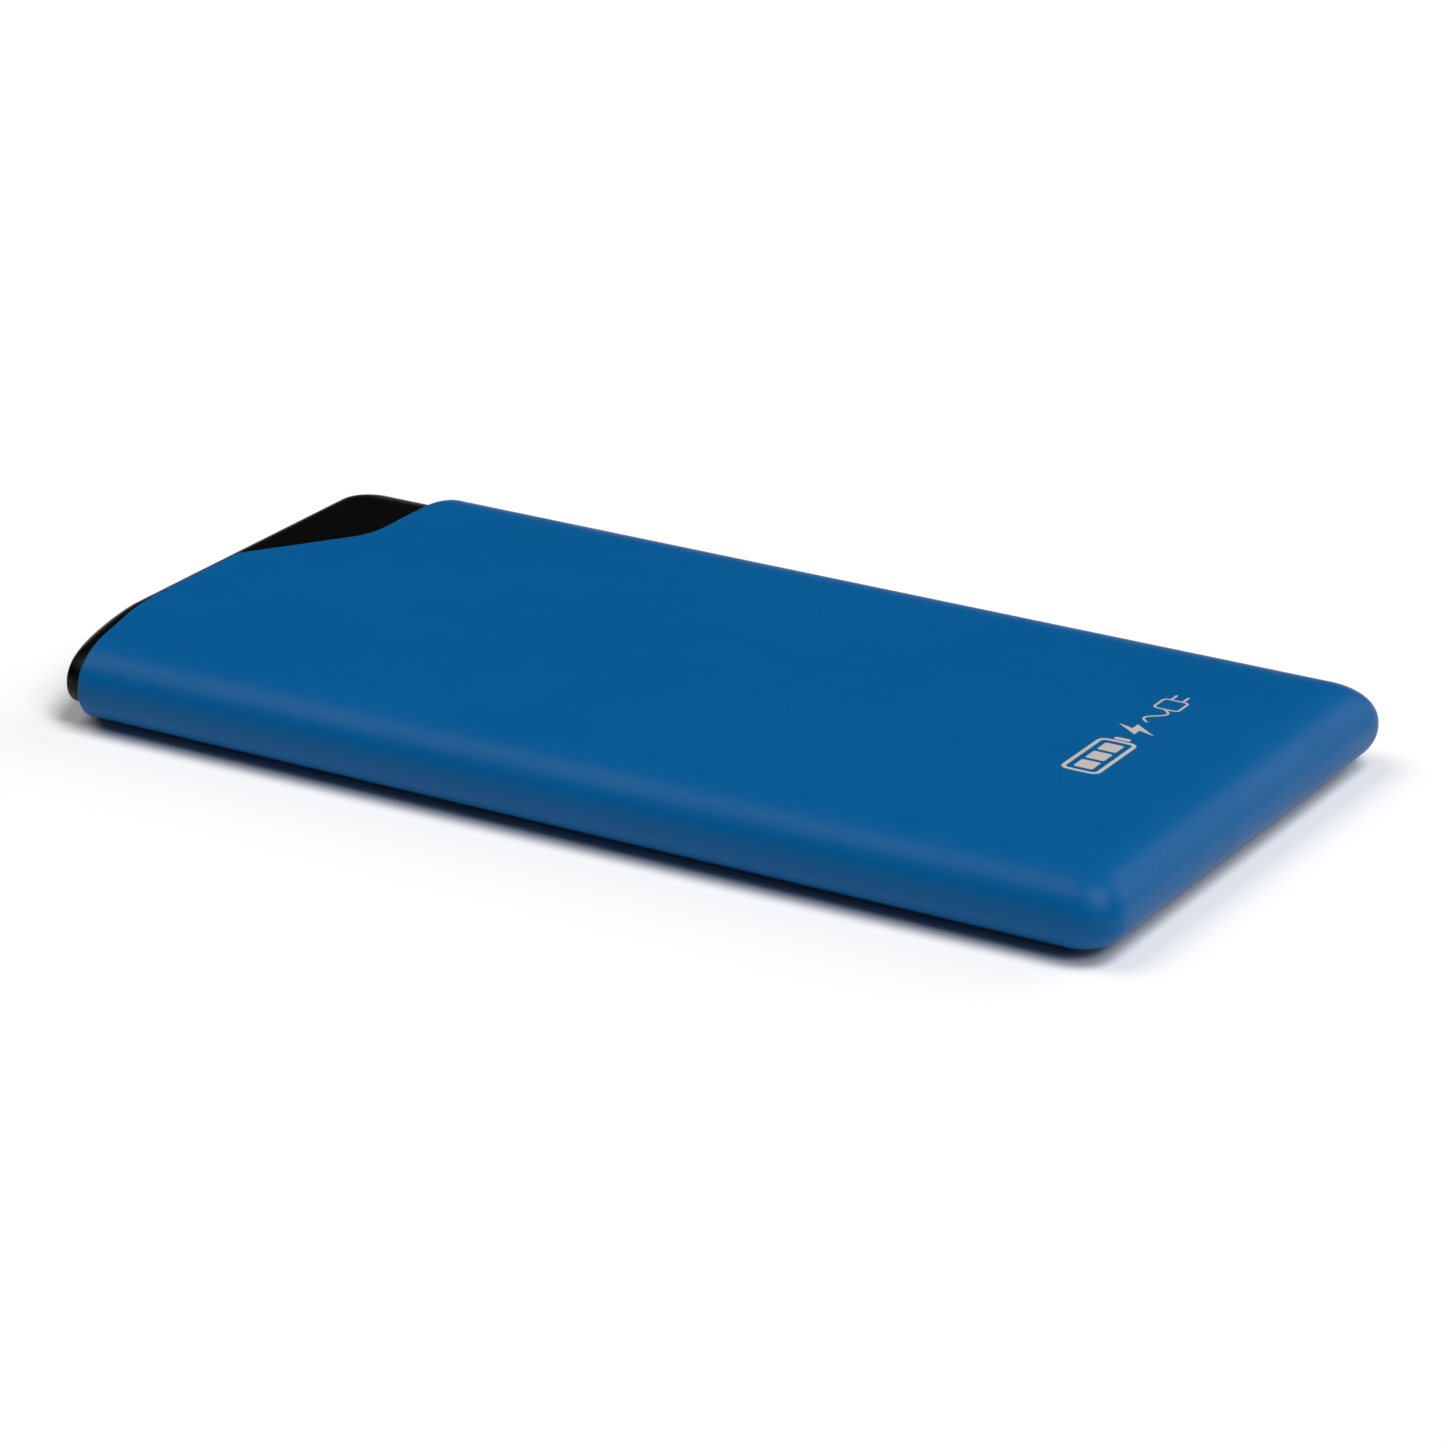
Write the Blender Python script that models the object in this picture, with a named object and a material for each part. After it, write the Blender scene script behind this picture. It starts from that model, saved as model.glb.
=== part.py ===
"""Slim power bank: a one-piece sleeve, closed at one end, over a black end cap and a chassis.

The end cap holds the ports, the charge lights and the sprung power key, and is clipped to a
chassis with the cell. Frame: metres, +Z up, origin at the middle of the underside. +X points
to the sleeve's closed end, -X to the ports, and +Y to the side that carries the power key.
"""

import math

import bmesh
import bpy
from mathutils import Matrix, Vector

# Overall size
LENGTH = 0.1400
WIDTH = 0.0720
THICK = 0.0099

# Sleeve and its rounded edges
SLEEVE_WALL = 0.0010
SLIDE_GAP = 0.0003  # all round, between the sleeve and what slides into it
EDGE_DEPTH = 0.0075  # how far in from the side the rounded edge starts
EDGE_POWER = 2.2  # superellipse exponent of that edge; 2 would be an ellipse
TAIL_CORNER = 0.0046  # plan radius of the closed end's corners, at their widest
FLAT_CORNER = 0.0014  # the same, where the flat top begins

# Mouth of the sleeve: distances from the nose, from the near side to the far side
MOUTH_NEAR = 0.0077
MOUTH_MIDDLE = 0.0044
MOUTH_STEP = 0.0142
MOUTH_FAR = 0.0180
MOUTH_NEAR_BENDS = (0.0045, 0.0170)  # where it bends, from the near side
MOUTH_STEP_BENDS = (0.0010, 0.0152)  # where the step starts and ends, as Y
MOUTH_FAR_BEND = 0.0080  # where it bends, from the far side
MOUTH_SOFT = 0.0400  # radius of the near bends
MOUTH_TIGHT = (0.0015, 0.0085)  # radii at the step
MOUTH_TURN = 0.0060  # radius of the far bend

# End cap
CAP_LENGTH = 0.0240
CORE_WALL = 0.0006
NOSE_WALL = 0.0016
NOSE_EDGE = 0.0030  # depth of the nose's rounded edge
NEAR_CHAMFER = (0.0053, 0.0187)  # the soft near corner of the nose, along X and Y
NEAR_POWER = 1.3
FAR_CORNER = 0.0057
JOIN_GAP = 0.0003
PACK_GAP = 0.0001  # between small pieces that lie against each other
OVERLAP = 0.0003  # how far pieces that become one reach into each other

# Chassis
SPLIT_RISE = 0.0008  # the tray's rim above mid height
ARM = (0.0050, 0.0012, 0.0022)  # snap arm: reach into the cap, thickness, height
HOOK = (0.0015, 0.0009, 0.0015)  # its hook: length, reach outwards, height
ARM_GAP = 0.0005  # between the arm and the cap's wall
ARM_ROOT = (0.0022, 0.0003, 0.0021)  # arm's end behind the joint, and its foot's front and back
WINDOW_REACH = 0.0010  # how far the hook's window is cut each way from the wall's inner face

# Main board and its screws
BOARD_THICK = 0.0008
BOARD_FRONT_GAP = 0.0004  # behind the light pipe
BOARD_TAIL_GAP = 0.0020  # from the cap's tail
BOARD_NEAR = 0.0160  # from the near side of the cap
BOARD_FAR = 0.0050  # from the far side of the cap
SEAT = 0.00005  # between a board and what is soldered on it
SCREW_RADIUS = 0.0007
SCREW_HEAD = (0.0013, 0.0006)
POST_RADIUS = 0.0015
SCREW_INSET = 0.0025  # from the board's rear edge
SCREW_SIDE = 0.0040  # from the board's sides

# Charge circuit: place, size and finish of each part. X counts forwards from the board's rear
# edge, and Y from the middle of the Micro-USB socket towards the USB-A socket.
BOARD_PARTS = {
    "boost_inductor": ((0.0068, -0.0005), (0.0066, 0.0066, 0.0030), "ferrite"),
    "charge_controller": ((0.0075, 0.0070), (0.0050, 0.0050, 0.0009), "chip"),
    "boost_converter": ((0.0140, 0.0085), (0.0040, 0.0050, 0.0015), "chip"),
    "switching_mosfet_1": ((0.0025, 0.0100), (0.0030, 0.0032, 0.0010), "chip"),
    "switching_mosfet_2": ((0.0025, 0.0145), (0.0030, 0.0032, 0.0010), "chip"),
    "buffer_capacitor_1": ((0.0104, -0.0065), (0.0020, 0.0032, 0.0018), "ceramic"),
    "buffer_capacitor_2": ((0.0130, -0.0065), (0.0020, 0.0032, 0.0018), "ceramic"),
    "buffer_capacitor_3": ((0.0156, -0.0065), (0.0020, 0.0032, 0.0018), "ceramic"),
    "sense_resistor": ((0.0120, 0.0135), (0.0016, 0.0032, 0.0006), "chip"),
}
INDUCTOR_CORNER = 0.0010

# Ports
USB_A = (0.0140, 0.0131, 0.0057)  # depth, width, height of the shell
USB_A_SHEET = 0.0003
USB_A_Y = 0.0140
USB_A_SETBACK = 0.0012
USB_A_CORNER = 0.0005
TONGUE = (0.00888, 0.0111, 0.00184)  # reach, width and thickness
TONGUE_CLEAR = 0.0007  # between the tongue and the shell above it
PLUG_DEPTH = 0.0120
CONTACTS = ((-0.0035, 0.0074), (-0.0010, 0.0064), (0.0010, 0.0064), (0.0035, 0.0074))  # Y, length
CONTACT = (0.0010, 0.0002)  # width and thickness
MICRO_USB = (0.0056, 0.0075, 0.0026)
MICRO_SHEET = 0.00025
MICRO_Y = -0.0100
MICRO_SETBACK = 0.0011
MICRO_CORNERS = (0.0006, 0.0004)  # outside and inside radii of the shell
MICRO_BASE = (0.0010, 0.0004)  # depth of the insulator's block, and its room at each side
MICRO_TONGUE = (0.0012, 0.0046, -0.0001, 0.0006)  # setback, width, underside and top
PORT_GAP = 0.00015
OPENING_CORNER = 0.0007

# Charge lights
LIGHT_COUNT = 4
LIGHT_PITCH = 0.0022
LIGHT_RADIUS = 0.00055
LIGHT_GAP = 0.00015
LED_SIZE = (0.0008, 0.0016, 0.0012)
PIPE = (0.0008, 0.0010, 0.0016)  # depth, reach past the end windows, height

# Power key and its switch
KEY = (0.0075, 0.0026)  # length and height of its face
KEY_GAP = 0.00015
KEY_PROUD = 0.0003
KEY_FROM_NOSE = 0.0100
KEY_TRAVEL = 0.0003
FLANGE = (0.0010, 0.0006)  # overhang at each end, and thickness
SHOULDER = 0.0008  # from the wall's inner face back to the flange
STEM_REACH = 0.0007
SWITCH = (0.0046, 0.0036, 0.0026)
PLUNGER = (0.0024, 0.0012)  # width and height
PLUNGER_DEPTH = 0.0010  # how far it reaches into the switch
PLUNGER_SPARE = 0.0004  # how much of it stands out when it is pressed
PLUNGER_GAP = 0.00015

# Cell and its packing
CELL_SIDE_GAP = 0.0031  # between the cell and the chassis wall at each side
CELL_FRONT_GAP = 0.0090  # from the cap's tail, for the protection circuit and its leads
CELL_TAIL_GAP = 0.0051
CELL_CORNER = 0.0014
STRIP_THICK = 0.0002
STRIP_INSET = 0.0080  # from the cell's edges
FOAM_THICK = 0.0003
END_PAD = (0.0400, 0.0030)  # width and height of the foam behind the cell
END_PAD_GAP = 0.0015  # between it and the closed end's inner wall
PROTECTION = (0.0040, 0.0320, 0.0008)  # depth, width and thickness of its board
PROTECTION_GAP = 0.0006  # between that board and the cell
PROTECTION_DROP = 0.0004  # below mid height
STRIP_OVERHANG = 0.0005
TAB = (0.0034, 0.0050, 0.00015)
TAB_SPACING = 0.0180
PROTECTION_PARTS = {  # Y, size and finish
    "protection_chip": (-0.0145, (0.0016, 0.0029, 0.0011), "chip"),
    "protection_mosfet": (0.0138, (0.0030, 0.0040, 0.0010), "chip"),
    "thermistor": (0.0, (0.0012, 0.0020, 0.0008), "ceramic"),
}
LEAD_RADIUS = 0.0006
LEAD_SPACING = 0.0040
LEAD_LAP = 0.0010  # how far a lead's end reaches over each board

# Fineness of the rounded shapes
EDGE_STEPS = 7
CORNER_STEPS = 7

MID = THICK / 2
NOSE_X = -LENGTH / 2
TAIL_X = LENGTH / 2
CORE_INSET = SLEEVE_WALL + SLIDE_GAP
INNER_INSET = CORE_INSET + CORE_WALL
CORE_SIDE = WIDTH / 2 - CORE_INSET
INNER_SIDE = WIDTH / 2 - INNER_INSET
FLOOR = INNER_INSET
CEILING = THICK - INNER_INSET
CAP_TAIL = NOSE_X + CAP_LENGTH
BOARD_TOP = MID - MICRO_USB[2] / 2 - SEAT
PIPE_X = NOSE_X + NOSE_WALL + JOIN_GAP
BOARD_FRONT = PIPE_X + PIPE[0] + BOARD_FRONT_GAP
BOARD_REAR = CAP_TAIL - BOARD_TAIL_GAP
BOARD_Y = (BOARD_NEAR - WIDTH / 2, WIDTH / 2 - BOARD_FAR)
LIGHTS_Y = (USB_A_Y - USB_A[1] / 2 + MICRO_Y + MICRO_USB[1] / 2) / 2
LONG = LENGTH  # how far a cutter runs past what it cuts

COLOURS = {
    "sleeve": ((0.006, 0.105, 0.296), 0.0, 0.45),
    "cap": ((0.005, 0.005, 0.006), 0.0, 0.40),
    "chassis": ((0.030, 0.030, 0.032), 0.0, 0.55),
    "key": ((0.012, 0.012, 0.013), 0.0, 0.35),
    "steel": ((0.560, 0.560, 0.550), 1.0, 0.30),
    "contact": ((0.830, 0.620, 0.250), 1.0, 0.25),
    "insulator": ((0.010, 0.010, 0.011), 0.0, 0.50),
    "diffuser": ((0.800, 0.830, 0.850), 0.0, 0.35),
    "led": ((0.900, 0.900, 0.820), 0.0, 0.40),
    "board": ((0.010, 0.110, 0.045), 0.0, 0.45),
    "chip": ((0.015, 0.015, 0.017), 0.0, 0.60),
    "ferrite": ((0.070, 0.070, 0.075), 0.0, 0.70),
    "ceramic": ((0.420, 0.300, 0.190), 0.0, 0.50),
    "pouch": ((0.620, 0.630, 0.650), 0.9, 0.35),
    "nickel": ((0.600, 0.580, 0.540), 1.0, 0.30),
    "red_wire": ((0.500, 0.015, 0.015), 0.0, 0.45),
    "black_wire": ((0.012, 0.012, 0.012), 0.0, 0.45),
    "tape": ((0.650, 0.420, 0.080), 0.0, 0.40),
    "foam": ((0.050, 0.050, 0.055), 0.0, 0.90),
}


def clear_scene():
    for obj in list(bpy.data.objects):
        bpy.data.objects.remove(obj, do_unlink=True)


def new_collection(name):
    collection = bpy.data.collections.new(name)
    bpy.context.scene.collection.children.link(collection)
    return collection


def finish_of(obj, finish):
    """Gives the object its own Principled material in one of the named finishes."""
    colour, metallic, roughness = COLOURS[finish]
    material = bpy.data.materials.new(obj.name)
    material.use_nodes = True
    shader = material.node_tree.nodes["Principled BSDF"]
    shader.inputs["Base Color"].default_value = (*colour, 1.0)
    shader.inputs["Metallic"].default_value = metallic
    shader.inputs["Roughness"].default_value = roughness
    obj.data.materials.append(material)


def add_mesh(name, shape, place=(0, 0, 0), finish=None):
    """A mesh object from a bmesh: a part if it has a finish, and otherwise a cutter."""
    mesh = bpy.data.meshes.new(name)
    bmesh.ops.recalc_face_normals(shape, faces=shape.faces)
    shape.to_mesh(mesh)
    shape.free()
    obj = bpy.data.objects.new(name, mesh)
    obj.location = place
    if finish:
        PARTS.objects.link(obj)
        finish_of(obj, finish)
    else:
        CUTTERS.objects.link(obj)
        obj.hide_render = True
        obj.display_type = "WIRE"
    return obj


def boolean(obj, operation, other):
    modifier = obj.modifiers.new(f"{operation.lower()} {other.name}", "BOOLEAN")
    modifier.operation = operation
    modifier.object = other
    modifier.solver = "EXACT"


def cut(obj, *cutters):
    for cutter in cutters:
        boolean(obj, "DIFFERENCE", cutter)


def join(obj, *pieces):
    for piece in pieces:
        boolean(obj, "UNION", piece)


def smooth(obj, angle=35):
    obj.data.shade_smooth()
    obj.data.set_sharp_from_angle(angle=math.radians(angle))


def quarter(centre, radii, turn, power=2.0):
    """Quarter of a superellipse, counter-clockwise, from turn quarter turns after +X."""
    points = []
    for step in range(CORNER_STEPS + 1):
        angle = math.pi / 2 * step / CORNER_STEPS
        along = max(math.cos(angle), 0.0) ** (2 / power)
        across = math.sin(angle) ** (2 / power)
        if turn % 2:
            along, across = across, along
        sign_x = 1 if turn in (0, 3) else -1
        sign_y = 1 if turn in (0, 1) else -1
        x = centre[0] + sign_x * radii[0] * along
        y = centre[1] + sign_y * radii[1] * across
        points.append((x, y))
    return points


def between(first, last, share):
    return first + (last - first) * share


def envelope_outline(inset, share, nose_inset):
    """Plan outline of the product's envelope, brought in by inset, at one level.

    share is 0 at mid height, where the outline is widest, and 1 where the flat top begins.
    nose_inset brings in the shaped nose; None gives a square end well past the nose.
    """
    depth = EDGE_DEPTH - inset
    side = WIDTH / 2 - inset - share * depth
    tail = TAIL_X - inset - share * depth
    corner = between(TAIL_CORNER - inset * TAIL_CORNER / EDGE_DEPTH, FLAT_CORNER, share)
    points = quarter((tail - corner, -side + corner), (corner, corner), 3)
    points += quarter((tail - corner, side - corner), (corner, corner), 0)
    if nose_inset is None:
        end = NOSE_X - LONG
        return points + [(end, side), (end, -side)]
    nose_depth = NOSE_EDGE - nose_inset
    nose = NOSE_X + nose_inset + share * nose_depth
    far = between(FAR_CORNER - nose_inset, FLAT_CORNER, share)
    near_x = between(NEAR_CHAMFER[0] - nose_inset, NEAR_CHAMFER[0] - NOSE_EDGE, share)
    near_y = NEAR_CHAMFER[1] - share * depth
    points += quarter((nose + far, side - far), (far, far), 1)
    points += quarter((nose + near_x, -side + near_y), (near_x, near_y), 2, NEAR_POWER)
    return points


def envelope(name, inset, nose_inset=None, finish=None):
    """Closed loft through the envelope's outlines, from the flat underside to the flat top."""
    height = MID - inset
    levels = []
    for step in range(-EDGE_STEPS, EDGE_STEPS + 1):
        angle = math.pi / 2 * step / EDGE_STEPS
        share = 1 - max(math.cos(angle), 0.0) ** (2 / EDGE_POWER)
        rise = math.copysign(abs(math.sin(angle)) ** (2 / EDGE_POWER), angle) * height
        levels.append((share, MID + rise))
    shape = bmesh.new()
    rings = []
    for share, z in levels:
        outline = envelope_outline(inset, share, nose_inset)
        rings.append([shape.verts.new((x, y, z)) for x, y in outline])
    for lower, upper in zip(rings, rings[1:]):
        for i, corner in enumerate(lower):
            j = (i + 1) % len(lower)
            shape.faces.new((corner, lower[j], upper[j], upper[i]))
    shape.faces.new(reversed(rings[0]))
    shape.faces.new(rings[-1])
    return add_mesh(name, shape, finish=finish)


def block(name, low, high, finish=None, radius=0.0, along=None, segments=3):
    """Box between two corners, with the edges parallel to the axis along rounded."""
    low, high = Vector(low), Vector(high)
    shape = bmesh.new()
    bmesh.ops.create_cube(shape, size=1.0, matrix=Matrix.Diagonal((*(high - low), 1.0)))
    if radius:
        axis = "XYZ".index(along)
        edges = [e for e in shape.edges if (e.verts[0].co - e.verts[1].co)[axis]]
        bmesh.ops.bevel(
            shape, geom=edges, offset=radius, segments=segments, profile=0.5, affect="EDGES"
        )
    return add_mesh(name, shape, (low + high) / 2, finish)


def on_board(name, x, y, size, base, finish, radius=0.0):
    """Block of the given size, centred on x and y and standing just clear of the base height."""
    low = (x - size[0] / 2, y - size[1] / 2, base + SEAT)
    high = (x + size[0] / 2, y + size[1] / 2, base + SEAT + size[2])
    return block(name, low, high, finish, radius, "Z")


def cylinder(name, radius, start, end, finish=None, segments=20):
    """Closed cylinder from one point to another, with a flat and not a corner facing each axis."""
    start, end = Vector(start), Vector(end)
    turn = (end - start).to_track_quat("Z", "Y").to_matrix().to_4x4()
    turn @= Matrix.Rotation(math.pi / segments, 4, "Z")
    depth = (end - start).length
    shape = bmesh.new()
    bmesh.ops.create_cone(
        shape,
        cap_ends=True,
        segments=segments,
        radius1=radius,
        radius2=radius,
        depth=depth,
        matrix=turn,
    )
    return add_mesh(name, shape, (start + end) / 2, finish)


def rounded_line(corners):
    """Open line through (x, y, radius) corners, each turned by an arc of its radius."""
    points = [Vector(corners[0][:2])]
    for before, here, after in zip(corners, corners[1:], corners[2:]):
        vertex = Vector(here[:2])
        back = (Vector(before[:2]) - vertex).normalized()
        ahead = (Vector(after[:2]) - vertex).normalized()
        half = back.angle(ahead) / 2
        reach = here[2] / math.tan(half)
        centre = vertex + (back + ahead).normalized() * here[2] / math.sin(half)
        first = vertex + back * reach - centre
        last = vertex + ahead * reach - centre
        swing = first.angle_signed(last)
        for step in range(CORNER_STEPS + 1):
            spoke = first.copy()
            spoke.rotate(Matrix.Rotation(-swing * step / CORNER_STEPS, 2))
            points.append(centre + spoke)
    points.append(Vector(corners[-1][:2]))
    return points


def plate(name, outline, low, high, finish=None):
    """Flat outline given a thickness, from height low to height high."""
    curve = bpy.data.curves.new(name, "CURVE")
    curve.dimensions = "2D"
    curve.fill_mode = "BOTH"
    curve.extrude = (high - low) / 2
    spline = curve.splines.new("POLY")
    spline.points.add(len(outline) - 1)
    for point, (x, y) in zip(spline.points, outline):
        point.co = (x, y, 0, 1)
    spline.use_cyclic_u = True
    flat = bpy.data.objects.new(f"{name} outline", curve)
    CUTTERS.objects.link(flat)
    bpy.context.view_layer.update()
    graph = bpy.context.evaluated_depsgraph_get()
    mesh = bpy.data.meshes.new_from_object(flat.evaluated_get(graph))
    bpy.data.objects.remove(flat)
    shape = bmesh.new()
    shape.from_mesh(mesh)
    bpy.data.meshes.remove(mesh)
    bmesh.ops.remove_doubles(shape, verts=shape.verts, dist=1e-6)
    return add_mesh(name, shape, (0, 0, (low + high) / 2), finish)


def mouth_cutter():
    """Everything on the nose's side of the sleeve's mouth, whose edge runs in a stepped line."""
    side = WIDTH / 2
    edge = rounded_line(
        (
            (NOSE_X + MOUTH_NEAR, -side - EDGE_DEPTH, 0),
            (NOSE_X + MOUTH_NEAR, -side + MOUTH_NEAR_BENDS[0], MOUTH_SOFT),
            (NOSE_X + MOUTH_MIDDLE, -side + MOUTH_NEAR_BENDS[1], MOUTH_SOFT),
            (NOSE_X + MOUTH_MIDDLE, MOUTH_STEP_BENDS[0], MOUTH_TIGHT[0]),
            (NOSE_X + MOUTH_STEP, MOUTH_STEP_BENDS[1], MOUTH_TIGHT[1]),
            (NOSE_X + MOUTH_STEP, side - MOUTH_FAR_BEND, MOUTH_TURN),
            (NOSE_X + MOUTH_FAR, side + EDGE_DEPTH, 0),
        )
    )
    end = NOSE_X - 2 * LONG
    outline = [*edge, (end, side + EDGE_DEPTH), (end, -side - EDGE_DEPTH)]
    return plate("mouth_cutter", outline, -MID, THICK + MID)


def outer_sleeve():
    """One-piece moulded sleeve: a pocket with one wall all round, open along the mouth."""
    sleeve = envelope("outer_sleeve", 0.0, finish="sleeve")
    cut(sleeve, envelope("sleeve_pocket", SLEEVE_WALL), mouth_cutter())
    smooth(sleeve)


def snap_window(side):
    """Window in the cap's side wall that the snap arm's hook sits in."""
    x = CAP_TAIL + JOIN_GAP - ARM[0]
    reach = HOOK[2] / 2 + JOIN_GAP
    low = (x - JOIN_GAP, side * INNER_SIDE - WINDOW_REACH, MID - reach)
    high = (x + HOOK[0] + JOIN_GAP, side * INNER_SIDE + WINDOW_REACH, MID + reach)
    return block(f"snap_window_{side}", low, high)


def screw_places():
    x = BOARD_REAR - SCREW_INSET
    return ((x, BOARD_Y[0] + SCREW_SIDE), (x, BOARD_Y[1] - SCREW_SIDE))


def port_opening(name, y, setback, size, gap):
    """Rounded cutter through the nose, as deep as the port of this depth, width and height."""
    low = (NOSE_X - NOSE_EDGE, y - size[1] / 2 - gap, MID - size[2] / 2 - gap)
    end = NOSE_X + setback + size[0] + gap
    high = (end, y + size[1] / 2 + gap, MID + size[2] / 2 + gap)
    return block(name, low, high, radius=OPENING_CORNER, along="X")


def key_outline(length, height, y_low, y_high, name, finish=None):
    """Round-ended bar along X, standing between two Y values on the key's centre line."""
    x = NOSE_X + KEY_FROM_NOSE
    low = (x - length / 2, y_low, MID - height / 2)
    high = (x + length / 2, y_high, MID + height / 2)
    return block(name, low, high, finish, radius=height * 0.48, along="Y", segments=5)


def end_cap():
    """Black moulded cap: shaped nose with the port openings, and posts for the board."""
    cap = envelope("end_cap", CORE_INSET, nose_inset=0.0, finish="cap")
    side = WIDTH / 2
    end = CAP_TAIL + 2 * LONG
    behind = block("behind_cap", (CAP_TAIL, -side, -MID), (end, side, THICK + MID))
    cut(cap, behind, envelope("cap_hollow", INNER_INSET, nose_inset=NOSE_WALL))
    for number, (x, y) in enumerate(screw_places(), 1):
        foot = (x, y, FLOOR - CORE_WALL / 2)
        top = (x, y, BOARD_TOP - BOARD_THICK - PACK_GAP)
        post = cylinder(f"post_{number}", POST_RADIUS, foot, top)
        bore_foot = (x, y, FLOOR - CORE_WALL / 3)
        bore = cylinder(f"post_bore_{number}", SCREW_RADIUS + PACK_GAP, bore_foot, (x, y, MID))
        join(cap, post)
        cut(cap, bore)
    length = KEY[0] + 2 * KEY_GAP
    height = KEY[1] + 2 * KEY_GAP
    cut(
        cap,
        port_opening("usb_a_opening", USB_A_Y, USB_A_SETBACK, USB_A, PORT_GAP),
        port_opening("micro_usb_opening", MICRO_Y, MICRO_SETBACK, MICRO_USB, 2 * PORT_GAP),
        key_outline(length, height, INNER_SIDE - SHOULDER, side, "key_opening"),
        snap_window(-1),
        snap_window(1),
    )
    for number, y in enumerate(light_places(), 1):
        front = (NOSE_X - NOSE_WALL, y, MID)
        back = (NOSE_X + 2 * NOSE_WALL, y, MID)
        radius = LIGHT_RADIUS + LIGHT_GAP
        cut(cap, cylinder(f"light_hole_{number}", radius, front, back, segments=16))
    smooth(cap)


def snap_arm(side):
    """Arm, foot and hook that join the tray to the cap, as one L-shaped piece to be united."""
    root = CAP_TAIL + JOIN_GAP
    front = root - ARM[0]
    outer = INNER_SIDE - ARM_GAP
    lap = side * (outer - OVERLAP)

    def across(name, x, y, z):
        low = (x[0], min(y), MID + z[0])
        high = (x[1], max(y), MID + z[1])
        return block(f"{name}_{side}", low, high)

    arm_end, foot_front, foot_back = ARM_ROOT
    arm_y = (side * (outer - ARM[1]), side * outer)
    arm = across("snap_arm", (front, root + arm_end), arm_y, (-ARM[2] / 2, ARM[2] / 2))
    foot_y = (lap, side * (INNER_SIDE + CORE_WALL / 2))
    foot_z = (PACK_GAP - ARM[2] / 2, SPLIT_RISE - JOIN_GAP)
    foot = across("snap_foot", (root + foot_front, root + foot_back), foot_y, foot_z)
    hook_y = (lap, side * (outer + HOOK[1]))
    hook_z = (-HOOK[2] / 2, HOOK[2] / 2)
    hook = across("snap_hook", (front + PACK_GAP, front + HOOK[0]), hook_y, hook_z)
    return arm, foot, hook


def chassis():
    """Tray and lid that hold the cell, cut from one hollow shell at the split line."""
    side = WIDTH / 2
    front = CAP_TAIL + JOIN_GAP
    split = MID + SPLIT_RISE
    ahead = block("ahead_of_chassis", (NOSE_X - 2 * LONG, -side, -MID), (front, side, THICK + MID))
    hollow = envelope("chassis_hollow", INNER_INSET)
    tray = envelope("chassis_tray", CORE_INSET, finish="chassis")
    above = block("above_split", (-LONG, -side, split - JOIN_GAP / 2), (LONG, side, THICK + MID))
    cut(tray, ahead, hollow, above)
    for direction in (-1, 1):
        join(tray, *snap_arm(direction))
    lid = envelope("chassis_lid", CORE_INSET, finish="chassis")
    below = block("below_split", (-LONG, -side, -MID), (LONG, side, split + JOIN_GAP / 2))
    cut(lid, ahead, hollow, below)
    smooth(tray)
    smooth(lid)


def usb_a_port():
    """USB-A socket: drawn steel shell, its insulator with the tongue, and four contacts."""
    front = NOSE_X + USB_A_SETBACK
    depth, width, height = USB_A
    shell = block(
        "usb_a_shell",
        (front, USB_A_Y - width / 2, MID - height / 2),
        (front + depth, USB_A_Y + width / 2, MID + height / 2),
        "steel",
        radius=USB_A_CORNER,
        along="X",
    )
    inner_width = width / 2 - USB_A_SHEET
    inner_height = height / 2 - USB_A_SHEET
    mouth = block(
        "usb_a_mouth",
        (front - depth, USB_A_Y - inner_width, MID - inner_height),
        (front + depth - USB_A_SHEET, USB_A_Y + inner_width, MID + inner_height),
    )
    cut(shell, mouth)
    base = front + depth - USB_A_SHEET - PACK_GAP
    insulator = block(
        "usb_a_insulator",
        (front + PLUG_DEPTH, USB_A_Y - inner_width + PACK_GAP, MID - inner_height + PACK_GAP),
        (base, USB_A_Y + inner_width - PACK_GAP, MID + inner_height - PACK_GAP),
        "insulator",
    )
    under = MID + inner_height - TONGUE_CLEAR - TONGUE[2]
    tongue = block(
        "usb_a_tongue",
        (front + PLUG_DEPTH - TONGUE[0], USB_A_Y - TONGUE[1] / 2, under),
        (front + PLUG_DEPTH + OVERLAP, USB_A_Y + TONGUE[1] / 2, under + TONGUE[2]),
    )
    join(insulator, tongue)
    contact_width, contact_thick = CONTACT
    rear = front + PLUG_DEPTH - PACK_GAP
    for number, (offset, length) in enumerate(CONTACTS, 1):
        y = USB_A_Y + offset
        block(
            f"usb_a_contact_{number}",
            (rear - length, y - contact_width / 2, under - SEAT - contact_thick),
            (rear, y + contact_width / 2, under - SEAT),
            "contact",
        )


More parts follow.
